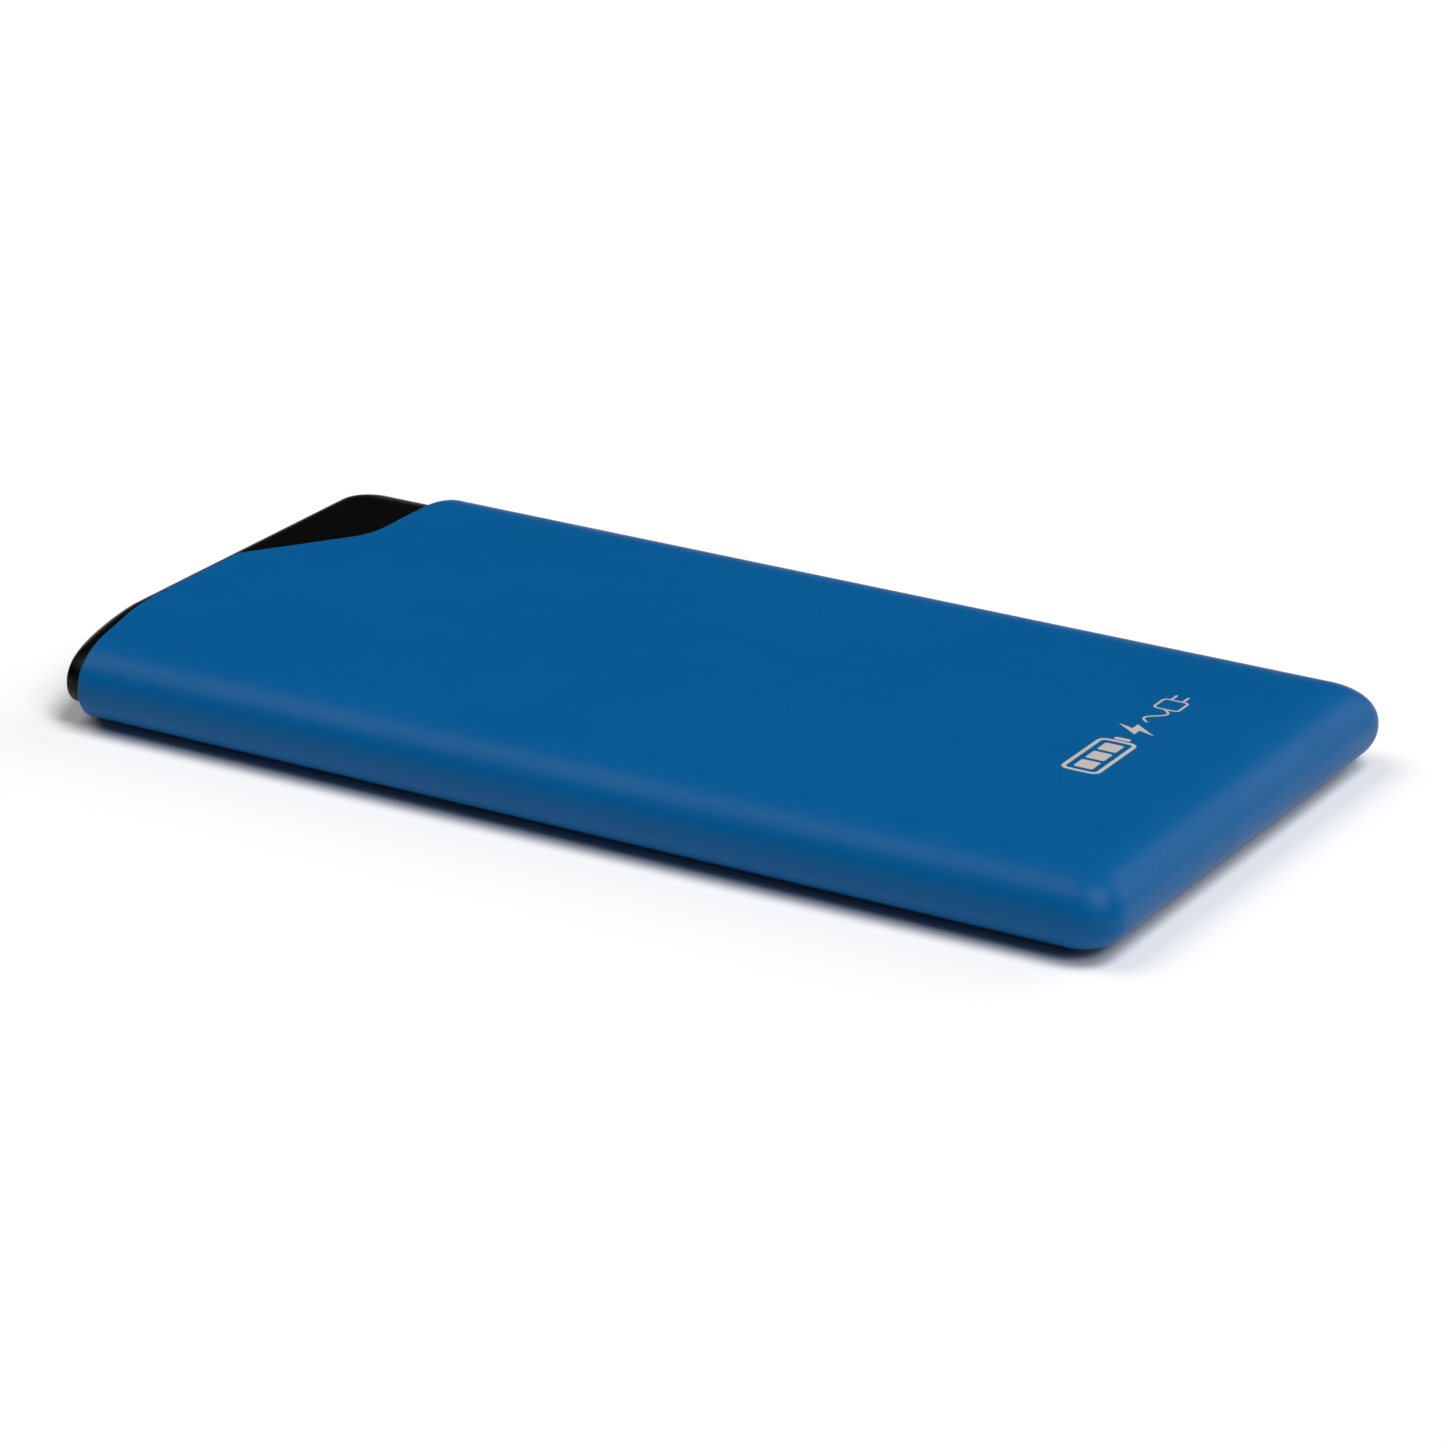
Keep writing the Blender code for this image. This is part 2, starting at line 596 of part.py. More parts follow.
def micro_usb_port():
    """Micro-USB socket: steel shell, and an insulator with a thin tongue."""
    front = NOSE_X + MICRO_SETBACK
    depth, width, height = MICRO_USB
    shell = block(
        "micro_usb_shell",
        (front, MICRO_Y - width / 2, MID - height / 2),
        (front + depth, MICRO_Y + width / 2, MID + height / 2),
        "steel",
        radius=MICRO_CORNERS[0],
        along="X",
    )
    inner_width = width / 2 - MICRO_SHEET
    inner_height = height / 2 - MICRO_SHEET
    mouth = block(
        "micro_usb_mouth",
        (front - depth, MICRO_Y - inner_width, MID - inner_height),
        (front + depth - MICRO_SHEET, MICRO_Y + inner_width, MID + inner_height),
        radius=MICRO_CORNERS[1],
        along="X",
    )
    cut(shell, mouth)
    base = front + depth - MICRO_SHEET - PACK_GAP
    block_depth, side_room = MICRO_BASE
    block_side = inner_width - side_room
    insulator = block(
        "micro_usb_insulator",
        (base - block_depth, MICRO_Y - block_side, MID - inner_height + PACK_GAP),
        (base, MICRO_Y + block_side, MID + inner_height - PACK_GAP),
        "insulator",
    )
    setback, tongue_width, underside, top = MICRO_TONGUE
    tongue = block(
        "micro_usb_tongue",
        (front + setback, MICRO_Y - tongue_width / 2, MID + underside),
        (base - OVERLAP, MICRO_Y + tongue_width / 2, MID + top),
    )
    join(insulator, tongue)


def light_places():
    first = LIGHTS_Y - LIGHT_PITCH * (LIGHT_COUNT - 1) / 2
    return [first + LIGHT_PITCH * number for number in range(LIGHT_COUNT)]


def charge_lights():
    """Light pipe with one window for each LED, and the LEDs on the board's front edge."""
    places = light_places()
    depth, reach, height = PIPE
    pipe = block(
        "light_pipe",
        (PIPE_X, places[0] - reach, MID - height / 2),
        (PIPE_X + depth, places[-1] + reach, MID + height / 2),
        "diffuser",
    )
    led_x = BOARD_FRONT + PACK_GAP + LED_SIZE[0] / 2
    for number, y in enumerate(places, 1):
        front = (NOSE_X + PACK_GAP, y, MID)
        back = (PIPE_X + depth / 2, y, MID)
        join(pipe, cylinder(f"light_window_{number}", LIGHT_RADIUS, front, back, segments=16))
        on_board(f"led_{number}", led_x, y, LED_SIZE, BOARD_TOP, "led")
    smooth(pipe)


def main_board():
    """Charge board: notched round the USB-A socket, drilled for its two screws."""
    low = (BOARD_FRONT, BOARD_Y[0], BOARD_TOP - BOARD_THICK)
    high = (BOARD_REAR, BOARD_Y[1], BOARD_TOP)
    board = block("main_board", low, high, "board")
    side = USB_A[1] / 2 + PORT_GAP + PACK_GAP
    end = NOSE_X + USB_A_SETBACK + USB_A[0] + PORT_GAP
    cut(board, block("board_notch", (NOSE_X, USB_A_Y - side, 0), (end, USB_A_Y + side, THICK)))
    head_radius, head_height = SCREW_HEAD
    for number, (x, y) in enumerate(screw_places(), 1):
        hole_radius = SCREW_RADIUS + 2 * PACK_GAP
        cut(board, cylinder(f"board_hole_{number}", hole_radius, (x, y, 0), (x, y, THICK)))
        tip = (x, y, FLOOR - CORE_WALL / 3 + PACK_GAP)
        under = (x, y, BOARD_TOP + SEAT)
        top = (x, y, BOARD_TOP + SEAT + head_height)
        screw = cylinder(
            f"board_screw_{number}", SCREW_RADIUS, tip, (x, y, BOARD_TOP + head_height), "steel"
        )
        join(screw, cylinder(f"screw_head_{number}", head_radius, under, top))
        smooth(screw)


def board_components():
    """Parts of the charge circuit, in the room beside and behind the sockets."""
    for name, ((x, y), size, finish) in BOARD_PARTS.items():
        radius = INDUCTOR_CORNER if finish == "ferrite" else 0.0
        on_board(name, BOARD_REAR - x, MICRO_Y + y, size, BOARD_TOP, finish, radius)


def power_key():
    """Round-ended key in the cap's far side, and the side-push switch that it presses."""
    face = CORE_SIDE + KEY_PROUD
    shoulder = INNER_SIDE - SHOULDER
    flange_back = shoulder - FLANGE[1]
    key = key_outline(*KEY, shoulder - PACK_GAP, face, "power_key", "key")
    flange_length = KEY[0] + 2 * FLANGE[0]
    flange_height = KEY[1] - 2 * PACK_GAP
    flange = key_outline(flange_length, flange_height, flange_back, shoulder, "key_flange")
    x = NOSE_X + KEY_FROM_NOSE
    half = PLUNGER[0] / 2
    tip = flange_back - STEM_REACH
    stem = block(
        "key_stem",
        (x - half, tip, MID - PLUNGER[1] / 2),
        (x + half, flange_back + OVERLAP, MID + PLUNGER[1] / 2),
    )
    join(key, flange, stem)
    smooth(key)

    plunger_face = tip - PACK_GAP
    body_face = plunger_face - KEY_TRAVEL - PLUNGER_SPARE
    body_back = body_face - SWITCH[1]
    plunger_back = body_face - PLUNGER_DEPTH
    room = PLUNGER[1] / 2 + PLUNGER_GAP
    block(
        "switch_plunger",
        (x - half, plunger_back, MID - PLUNGER[1] / 2),
        (x + half, plunger_face, MID + PLUNGER[1] / 2),
        "insulator",
    )
    switch = block(
        "tact_switch",
        (x - SWITCH[0] / 2, body_back, BOARD_TOP + SEAT),
        (x + SWITCH[0] / 2, body_face, BOARD_TOP + SEAT + SWITCH[2]),
        "steel",
    )
    pocket = block(
        "plunger_pocket",
        (x - half - PLUNGER_GAP, plunger_back - KEY_TRAVEL - PLUNGER_GAP, MID - room),
        (x + half + PLUNGER_GAP, body_face + SWITCH[1], MID + room),
    )
    cut(switch, pocket)


def cell_and_packing():
    """Lithium-polymer pouch cell with the tape under it and the foam over and behind it."""
    front = CAP_TAIL + CELL_FRONT_GAP
    tail = TAIL_X - INNER_INSET - CELL_TAIL_GAP
    side = INNER_SIDE - CELL_SIDE_GAP
    strip_base = FLOOR + PACK_GAP
    strip_top = strip_base + STRIP_THICK
    foam_top = CEILING - PACK_GAP
    foam_base = foam_top - FOAM_THICK
    low = (front, -side, strip_top + PACK_GAP)
    high = (tail, side, foam_base - PACK_GAP)
    block("battery_cell", low, high, "pouch", CELL_CORNER, "X")
    across = side - STRIP_INSET
    low = (front + STRIP_INSET, -across, strip_base)
    high = (tail - STRIP_INSET, across, strip_top)
    block("adhesive_strip", low, high, "tape")
    low = (front + 2 * STRIP_INSET, -across, foam_base)
    high = (tail - 2 * STRIP_INSET, across, foam_top)
    block("foam_pad", low, high, "foam")
    pad_width, pad_height = END_PAD
    pad_tail = TAIL_X - INNER_INSET - END_PAD_GAP
    low = (tail + 2 * PACK_GAP, -pad_width / 2, MID - pad_height / 2)
    high = (pad_tail, pad_width / 2, MID + pad_height / 2)
    block("end_pad", low, high, "foam")


def protection_circuit():
    """Small board across the cell's front, fed by two tabs, with two leads to the main board."""
    depth, width, thick = PROTECTION
    cell_front = CAP_TAIL + CELL_FRONT_GAP
    rear = cell_front - PROTECTION_GAP
    front = rear - depth
    bottom = MID - thick / 2 - PROTECTION_DROP
    top = bottom + thick
    low = (front, -width / 2, bottom)
    high = (rear, width / 2, top)
    block("protection_board", low, high, "board")
    strip_top = bottom - PACK_GAP
    strip_side = width / 2 + STRIP_OVERHANG
    low = (front, -strip_side, strip_top - STRIP_THICK)
    high = (rear, strip_side, strip_top)
    block("insulating_strip", low, high, "tape")
    tab_end = cell_front - PACK_GAP
    for name, sign in (("positive_tab", 1), ("negative_tab", -1)):
        y = sign * TAB_SPACING / 2
        low = (tab_end - TAB[0], y - TAB[1] / 2, top + SEAT)
        high = (tab_end, y + TAB[1] / 2, top + SEAT + TAB[2])
        block(name, low, high, "nickel")
    for name, (y, size, finish) in PROTECTION_PARTS.items():
        on_board(name, front + depth / 2, y, size, top, finish)
    lead(1, "positive_lead", "red_wire", front, top)
    lead(-1, "negative_lead", "black_wire", front, top)


def lead(sign, name, finish, board_edge, board_top):
    """Insulated wire on one smooth S from the protection board down to the main board."""
    y = sign * LEAD_SPACING
    start = Vector((board_edge + LEAD_LAP, y, board_top + 2 * PACK_GAP + LEAD_RADIUS))
    end = Vector((BOARD_REAR - LEAD_LAP, y / 2, BOARD_TOP + SEAT + LEAD_RADIUS))
    curve = bpy.data.curves.new(name, "CURVE")
    curve.dimensions = "3D"
    curve.bevel_depth = LEAD_RADIUS
    curve.bevel_resolution = 2
    curve.use_fill_caps = True
    spline = curve.splines.new("POLY")
    steps = 8
    spline.points.add(steps)
    for number, point in enumerate(spline.points):
        share = number / steps
        eased = share * share * (3 - 2 * share)
        x = between(start.x, end.x, share)
        y = between(start.y, end.y, eased)
        z = between(start.z, end.z, eased)
        point.co = (x, y, z, 1)
    obj = bpy.data.objects.new(name, curve)
    PARTS.objects.link(obj)
    finish_of(obj, finish)


clear_scene()
PARTS = new_collection("power_bank")
CUTTERS = new_collection("cutters")

outer_sleeve()
end_cap()
chassis()
usb_a_port()
micro_usb_port()
charge_lights()
main_board()
board_components()
power_key()
cell_and_packing()
protection_circuit()
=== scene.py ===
"""Looks of the slim power bank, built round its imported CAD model.

Metres, +Z up, +X to the sleeve's closed end, -X to the sockets, +Y to the power key's side.
Each section makes one piece, or one group of like pieces, in the order of assembly from outside in.
"""

import math
from contextlib import contextmanager

import bmesh
import bpy
import numpy as np
from mathutils import Matrix, Vector


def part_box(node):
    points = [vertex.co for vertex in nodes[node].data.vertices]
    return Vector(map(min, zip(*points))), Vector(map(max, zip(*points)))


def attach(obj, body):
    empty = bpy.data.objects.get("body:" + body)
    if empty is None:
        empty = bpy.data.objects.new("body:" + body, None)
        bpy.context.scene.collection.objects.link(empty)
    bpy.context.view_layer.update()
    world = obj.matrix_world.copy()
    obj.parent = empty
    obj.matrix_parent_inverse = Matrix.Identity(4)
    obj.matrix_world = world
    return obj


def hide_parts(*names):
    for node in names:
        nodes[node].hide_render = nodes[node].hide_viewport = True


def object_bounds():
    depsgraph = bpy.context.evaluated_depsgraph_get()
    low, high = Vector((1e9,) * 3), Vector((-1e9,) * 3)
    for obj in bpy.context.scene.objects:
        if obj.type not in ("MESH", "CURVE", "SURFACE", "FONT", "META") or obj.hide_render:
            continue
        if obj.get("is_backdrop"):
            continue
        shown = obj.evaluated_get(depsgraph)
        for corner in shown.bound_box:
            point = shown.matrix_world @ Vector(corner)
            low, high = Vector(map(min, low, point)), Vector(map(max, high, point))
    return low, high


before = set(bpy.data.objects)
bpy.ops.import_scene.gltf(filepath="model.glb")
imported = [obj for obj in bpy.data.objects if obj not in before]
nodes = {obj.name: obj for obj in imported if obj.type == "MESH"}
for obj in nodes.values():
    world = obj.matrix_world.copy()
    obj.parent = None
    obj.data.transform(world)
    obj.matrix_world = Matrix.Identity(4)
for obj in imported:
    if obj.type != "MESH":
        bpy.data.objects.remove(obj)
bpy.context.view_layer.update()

# ------------------------------------------------------------
# Outer sleeve. One injection moulding in through-coloured blue plastic with a fine satin texture:
# a pocket with a 1 mm wall, closed and rounded at one end, cut in a stepped line at the other.
# The chassis slides in at this mouth, and the end cap at its front closes it.
half_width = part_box("outer_sleeve")[1].y
tail_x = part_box("outer_sleeve")[1].x
top_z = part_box("outer_sleeve")[1].z
mid_z = top_z / 2
nose_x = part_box("end_cap")[0].x
sleeve_wall = 0.0010
edge_depth = 0.0075  # how far in the rounded edge reaches
edge_power = 2.2  # superellipse exponent of that edge
tail_corner = 0.0046  # plan radius of the closed end's corners where the sleeve is widest
flat_corner = 0.0014  # the same where the flat top begins
flat_side = half_width - edge_depth
mouth_near, mouth_middle, mouth_step, mouth_far = 0.0077, 0.0044, 0.0142, 0.0180  # from the nose
near_bends = (0.0045, 0.0170)  # where the mouth's line bends, in from the near side
step_bends = (0.0010, 0.0152)  # where its step starts and ends, as Y
far_bend = 0.0080  # where it bends, in from the far side
soft_radius, step_radii, far_radius = 0.040, (0.0015, 0.0085), 0.0060  # of those bends


def rounded_edge(steps, power=edge_power):
    """Superellipse edge from its foot to its top, for an angle a from -90 to 90 degrees.

    share, how far in it is, is 1 - cos(a)^(2/power); rise, from -1 to 1, is sin(a)^(2/power)
    with the sign of a.
    """
    angle = np.linspace(-np.pi / 2, np.pi / 2, 2 * steps + 1)
    share = 1 - np.clip(np.cos(angle), 0, 1) ** (2 / power)
    rise = np.sign(angle) * np.abs(np.sin(angle)) ** (2 / power)
    share[[0, -1]], rise[[0, -1]] = 1, (-1, 1)
    return share, rise


def corner_arcs(before, here, after, radius, steps):
    """Arcs that round the corners here between straights from before and to after.

    Each arc's centre is on the corner's bisector, radius / sin(half angle) away, and its points are
    evenly turned from where it touches the first straight to where it touches the second.
    """
    back = before - here
    ahead = after - here
    back /= np.linalg.norm(back, axis=1, keepdims=True)
    ahead /= np.linalg.norm(ahead, axis=1, keepdims=True)
    half = np.arccos(np.clip((back * ahead).sum(1), -1, 1)) / 2
    bisector = (back + ahead) / np.linalg.norm(back + ahead, axis=1, keepdims=True)
    centre = here + bisector * (radius / np.sin(half))[:, None]
    first = here + back * (radius / np.tan(half))[:, None] - centre
    side = np.sign(back[:, 0] * ahead[:, 1] - back[:, 1] * ahead[:, 0])
    turn = -side[:, None] * (np.pi - 2 * half)[:, None] * np.linspace(0, 1, steps + 1)
    cos, sin = np.cos(turn), np.sin(turn)
    x = centre[:, :1] + first[:, :1] * cos - first[:, 1:] * sin
    y = centre[:, 1:] + first[:, :1] * sin + first[:, 1:] * cos
    return np.stack([x, y], axis=-1)


def mouth_line():
    """The mouth's edge in plan, from the near side to the far side: straights joined by arcs."""
    corners = np.array([
        (mouth_near, -half_width - edge_depth, 0),
        (mouth_near, near_bends[0] - half_width, soft_radius),
        (mouth_middle, near_bends[1] - half_width, soft_radius),
        (mouth_middle, step_bends[0], step_radii[0]),
        (mouth_step, step_bends[1], step_radii[1]),
        (mouth_step, half_width - far_bend, far_radius),
        (mouth_far, half_width + edge_depth, 0),
    ])
    corners[:, 0] += nose_x
    places = corners[:, :2]
    arcs = corner_arcs(places[:-2], places[1:-1], places[2:], corners[1:-1, 2], 10).reshape(-1, 2)
    return np.concatenate([places[:1], arcs, places[-1:]])


def placed(name, data):
    thing = bpy.data.objects.new(name, data)
    bpy.context.scene.collection.objects.link(thing)
    return thing


@contextmanager
def edited(mesh):
    """Opens a mesh for editing, and writes it back."""
    shape = bmesh.new()
    shape.from_mesh(mesh)
    yield shape
    shape.to_mesh(mesh)
    shape.free()


def grid_mesh(name, points, wrap_columns=False, wrap_rows=False, caps=False):
    """Mesh object of quads between neighbours in a grid of points, coincident points merged.

    The faces point to the side that column direction x row direction gives.
    """
    rows, columns = points.shape[:2]
    index = np.arange(rows * columns).reshape(rows, columns)
    if wrap_columns:
        index = np.concatenate([index, index[:, :1]], axis=1)
    if wrap_rows:
        index = np.concatenate([index, index[:1]], axis=0)
    quads = np.stack([index[:-1, :-1], index[:-1, 1:], index[1:, 1:], index[1:, :-1]], axis=-1)
    faces = quads.reshape(-1, 4).tolist()
    if caps:
        faces += [index[0, :columns][::-1].tolist(), index[-1, :columns].tolist()]
    mesh = bpy.data.meshes.new(name)
    mesh.from_pydata(points.reshape(-1, 3), [], faces)
    with edited(mesh) as shape:
        bmesh.ops.remove_doubles(shape, verts=shape.verts, dist=1e-7)
    return placed(name, mesh)


def smooth(piece, angle=35):
    piece.data.shade_smooth()
    piece.data.set_sharp_from_angle(angle=math.radians(angle))


def sleeve_skin(name):
    """The sleeve's outer skin, as rings in plan at rising levels.

    A ring starts on the mouth's edge at y = -side, runs to the closed end, round its two corner arcs
    and back to the mouth's edge at y = +side. The levels go from a line along the middle of the
    underside, out over the flat, up the superellipse edge and in over the flat top.
    """
    line = mouth_line()
    share, rise = rounded_edge(26)
    own = np.abs(line[:, 1])
    flat = np.unique(np.round(np.concatenate([own[own < flat_side], np.linspace(0, flat_side, 42)]), 5))
    flat = flat[flat < flat_side - 1e-4]
    side = np.concatenate([flat, half_width - share * edge_depth, flat[::-1]])
    flat_tail = tail_x - half_width + flat
    tail = np.concatenate([flat_tail, tail_x - share * edge_depth, flat_tail[::-1]])
    shrink = flat_corner * flat / flat_side
    corner = np.concatenate([shrink, tail_corner + (flat_corner - tail_corner) * share, shrink[::-1]])
    z = np.concatenate([np.zeros(len(flat)), mid_z + rise * mid_z, np.full(len(flat), top_z)])
    side, tail, corner = side[:, None], tail[:, None], corner[:, None]
    along = np.array([0, 0.004, 0.02, 0.08, 0.2, 0.4, 0.6, 0.8, 0.92, 0.98])  # closer at the ends
    turn = np.linspace(0, np.pi / 2, 25)
    across = np.linspace(-1, 1, 14)[1:-1]
    ends = [np.interp(sign * side, line[:, 1], line[:, 0]) for sign in (-1, 1)]
    run = [end + (tail - corner - end) * along for end in ends]
    x = np.concatenate([
        run[0],
        tail - corner + corner * np.sin(turn),
        np.repeat(tail, len(across), axis=1),
        tail - corner + corner * np.cos(turn),
        run[1][:, ::-1],
    ], axis=1)
    y = np.concatenate([
        np.repeat(-side, len(along), axis=1),
        -side + corner - corner * np.cos(turn),
        (side - corner) * across,
        side - corner + corner * np.sin(turn),
        np.repeat(side, len(along), axis=1),
    ], axis=1)
    return grid_mesh(name, np.stack([x, y, np.repeat(z[:, None], x.shape[1], axis=1)], axis=-1))


def walled(piece, wall, lip, segments=3):
    """Gives an open skin its wall, inwards, and rounds the edges of the rim."""
    solid = piece.modifiers.new("wall", "SOLIDIFY")
    solid.thickness = wall
    solid.offset = -1
    solid.use_even_offset = True
    rim = piece.modifiers.new("lip", "BEVEL")
    rim.width = lip
    rim.segments = segments
    rim.limit_method = "ANGLE"
    rim.angle_limit = math.radians(50)
    rim.use_clamp_overlap = True


def fed(tree, node, inputs):
    """Fills a shader node's inputs: a socket is linked, and anything else is the input's value."""
    for name, source in inputs.items():
        if isinstance(source, bpy.types.NodeSocket):
            tree.links.new(source, node.inputs[name])
        else:
            node.inputs[name].default_value = source
    return node


def added(tree, kind, inputs):
    return fed(tree, tree.nodes.new("ShaderNode" + kind), inputs)


def new_material(name):
    """Material, with its tree, its shader and the object coordinates that its patterns follow."""
    material = bpy.data.materials.new(name)
    material.use_nodes = True
    tree = material.node_tree
    place = tree.nodes.new("ShaderNodeTexCoord").outputs["Object"]
    return material, tree, tree.nodes["Principled BSDF"], place


def noise(tree, place, size, detail=2.0):
    inputs = {"Vector": place, "Scale": 1 / size, "Detail": detail}
    return added(tree, "TexNoise", inputs).outputs["Fac"]


def ramp(tree, source, low, high, low_colour, high_colour):
    """Colour that runs from low_colour to high_colour as the source runs from low to high."""
    node = added(tree, "ValToRGB", {"Fac": source})
    first, last = node.color_ramp.elements
    first.position, last.position = low, high
    first.color, last.color = (*low_colour, 1), (*high_colour, 1)
    return node.outputs["Color"]


def relief(tree, height, strength, distance, **over):
    """Normal of a bumped surface; over names the normal that it goes on top of, if any."""
    inputs = {"Height": height, "Strength": strength, "Distance": distance, **over}
    return added(tree, "Bump", inputs).outputs["Normal"]


def moulded_plastic(name, colour, roughness, grain_size=0.00016, grain=0.25, gloss=0.5, swirl=0.05):
    """Moulded thermoplastic: spark-eroded grain, faint flow clouds in the colour, rubbed patches."""
    material, tree, shader, place = new_material(name)
    pale, dark = np.minimum(np.array(colour) * (1 + swirl), 1), np.array(colour) * (1 - swirl)
    rubbed, dull = [roughness - 0.04] * 3, [roughness + 0.03] * 3
    fed(tree, shader, {
        "Base Color": ramp(tree, noise(tree, place, 0.018), 0.3, 0.7, dark, pale),
        "Roughness": ramp(tree, noise(tree, place, 0.006, 6.0), 0.35, 0.75, dull, rubbed),
        "Normal": relief(tree, noise(tree, place, grain_size, 3.0), grain, grain_size * 0.25),
        "Specular IOR Level": gloss,
    })
    return material


def finished(piece, material, body, replaced=(), angle=35):
    """Shades a piece and gives it its material, its body and the nodes it stands for.

    A piece joined from several materials keeps them: its material is None.
    """
    smooth(piece, angle)
    if material:
        piece.data.materials.clear()
        piece.data.materials.append(material)
    if replaced:
        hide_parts(*replaced)
    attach(piece, body)


sleeve = sleeve_skin("blue_sleeve")
walled(sleeve, sleeve_wall, 0.00018)
satin_blue = moulded_plastic("satin_blue_plastic", (0.0004, 0.099, 0.290), 0.40, gloss=0.1, swirl=0.02)
finished(sleeve, satin_blue, "housing", ["outer_sleeve"], 40)

# ------------------------------------------------------------
# Printed sign near the closed end: a plain battery gauge, a bolt and a lead with its plug, pad
# printed in warm grey ink that stands 0.03 mm proud of the plastic.
ink_film = 0.00003
sign_x = tail_x - 0.0178
sign_y = -0.0084
sign_scale = (0.00104, 0.00122)  # metres to one unit of the drawing, along it and up it
thick_line, thin_line = 0.00050, 0.00028


def ribbon(name, path, width, closed=False):
    """Flat band of even width along a path on the top face, its edges square to the path."""
    path = np.asarray(path, float)
    if closed:
        ahead = np.roll(path, -1, axis=0) - np.roll(path, 1, axis=0)
    else:
        ahead = np.gradient(path, axis=0)
    ahead /= np.linalg.norm(ahead, axis=1, keepdims=True)
    aside = np.stack([-ahead[:, 1], ahead[:, 0]], axis=1) * width / 2
    flat = np.stack([path + aside, path - aside], axis=1)
    points = np.concatenate([flat, np.full((*flat.shape[:2], 1), top_z + ink_film)], axis=-1)
    return grid_mesh(name, points, wrap_rows=closed)


def panel(name, corners):
    """Flat filled outline on the top face."""
    flat = np.asarray(corners, float)
    mesh = bpy.data.meshes.new(name)
    points = np.column_stack([flat, np.full(len(flat), top_z + ink_film)])
    mesh.from_pydata(points, [], [list(range(len(flat)))])
    return placed(name, mesh)


def round_box(low_x, low_y, high_x, high_y, radius, steps=5):
    """Closed plan outline of a rectangle with round corners."""
    corners = np.array([(low_x, low_y), (high_x, low_y), (high_x, high_y), (low_x, high_y)])
    before, after = np.roll(corners, 1, axis=0), np.roll(corners, -1, axis=0)
    return corner_arcs(before, corners, after, np.full(4, radius), steps).reshape(-1, 2)


def on_sign(points):
    """Puts points (along, up) of the sign on the top face; it reads towards +Y."""
    points = np.asarray(points, float) * sign_scale
    return np.stack([sign_x - points[:, 1], sign_y + points[:, 0]], axis=1)


def joined(name, pieces):
    """One piece from several that are printed, bonded or soldered together."""
    with bpy.context.temp_override(active_object=pieces[0], selected_editable_objects=pieces):
        bpy.ops.object.join()
    pieces[0].name = pieces[0].data.name = name
    return pieces[0]


def printed_sign():
    """The sign's flat parts as one piece, all facing up, thickened downwards into the film."""
    parts = [
        ribbon("gauge", on_sign(round_box(0.25, -1.75, 9.75, 1.75, 0.7)), thick_line, closed=True),
        panel("gauge_end", on_sign(round_box(10.2, -0.8, 10.9, 0.8, 0.25))),
    ]
    for bar in range(3):
        start = 1.15 + 2.75 * bar
        parts.append(panel(f"gauge_bar_{bar}", on_sign(round_box(start, -0.95, start + 2.15, 0.95, 0.2))))
    bolt = [(14.6, 2.1), (12.5, -0.35), (13.75, -0.35), (13.1, -2.1), (15.3, 0.45), (14.0, 0.45)]
    parts.append(panel("bolt", on_sign(bolt)))
    bend = np.linspace(0, 1, 24)
    lead = np.stack([16.4 + 4.3 * bend, 0.75 * np.sin(2 * np.pi * bend)], axis=1)
    parts.append(ribbon("lead_line", on_sign(lead), thin_line))
    plug = round_box(20.8, -1.25, 23.7, 1.25, 0.5)
    parts.append(ribbon("plug_line", on_sign(plug), thin_line, closed=True))
    for up in (-0.6, 0.6):
        parts.append(ribbon(f"prong_{up}", on_sign([(23.8, up), (25.2, up)]), thin_line))
    sign = joined("printed_sign", parts)
    with edited(sign.data) as shape:
        bmesh.ops.reverse_faces(shape, faces=[face for face in shape.faces if face.normal.z < 0])
    film = sign.modifiers.new("film", "SOLIDIFY")
    film.thickness = 1.6 * ink_film
    film.offset = -1
    return sign


sign = printed_sign()
ink = moulded_plastic("warm_grey_ink", (0.53, 0.48, 0.455), 0.5, grain_size=0.0001, grain=0.15, gloss=0.3)
sign.data.materials.append(ink)
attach(sign, "housing")

# ------------------------------------------------------------
# End cap. Black satin moulding that closes the mouth and carries the sockets. Its nose is rounded,
# with a long soft corner on the near side and a tight one on the far side, and each opening has a
# small chamfer. The wall is 1.6 mm thick at the nose and 0.6 mm elsewhere.
cap_low, cap_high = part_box("end_cap")
cap_side = cap_high.y
core_wall = 0.0006
nose_wall = 0.0016
nose_edge = 0.0030  # how far back the nose's rounded edge reaches
near_corner = (0.0053, 0.0187)  # how far the soft corner reaches, along X and Y
near_power = 1.3  # superellipse exponent of that corner
far_corner = 0.0057  # radius of the tight corner
cap_depth = edge_depth - (half_width - cap_side)  # of its rounded sides
cap_height = (cap_high.z - cap_low.z) / 2
cap_flat = cap_side - cap_depth
flat_draw = 0.008  # how far back from the nose the flat faces' rings shrink to


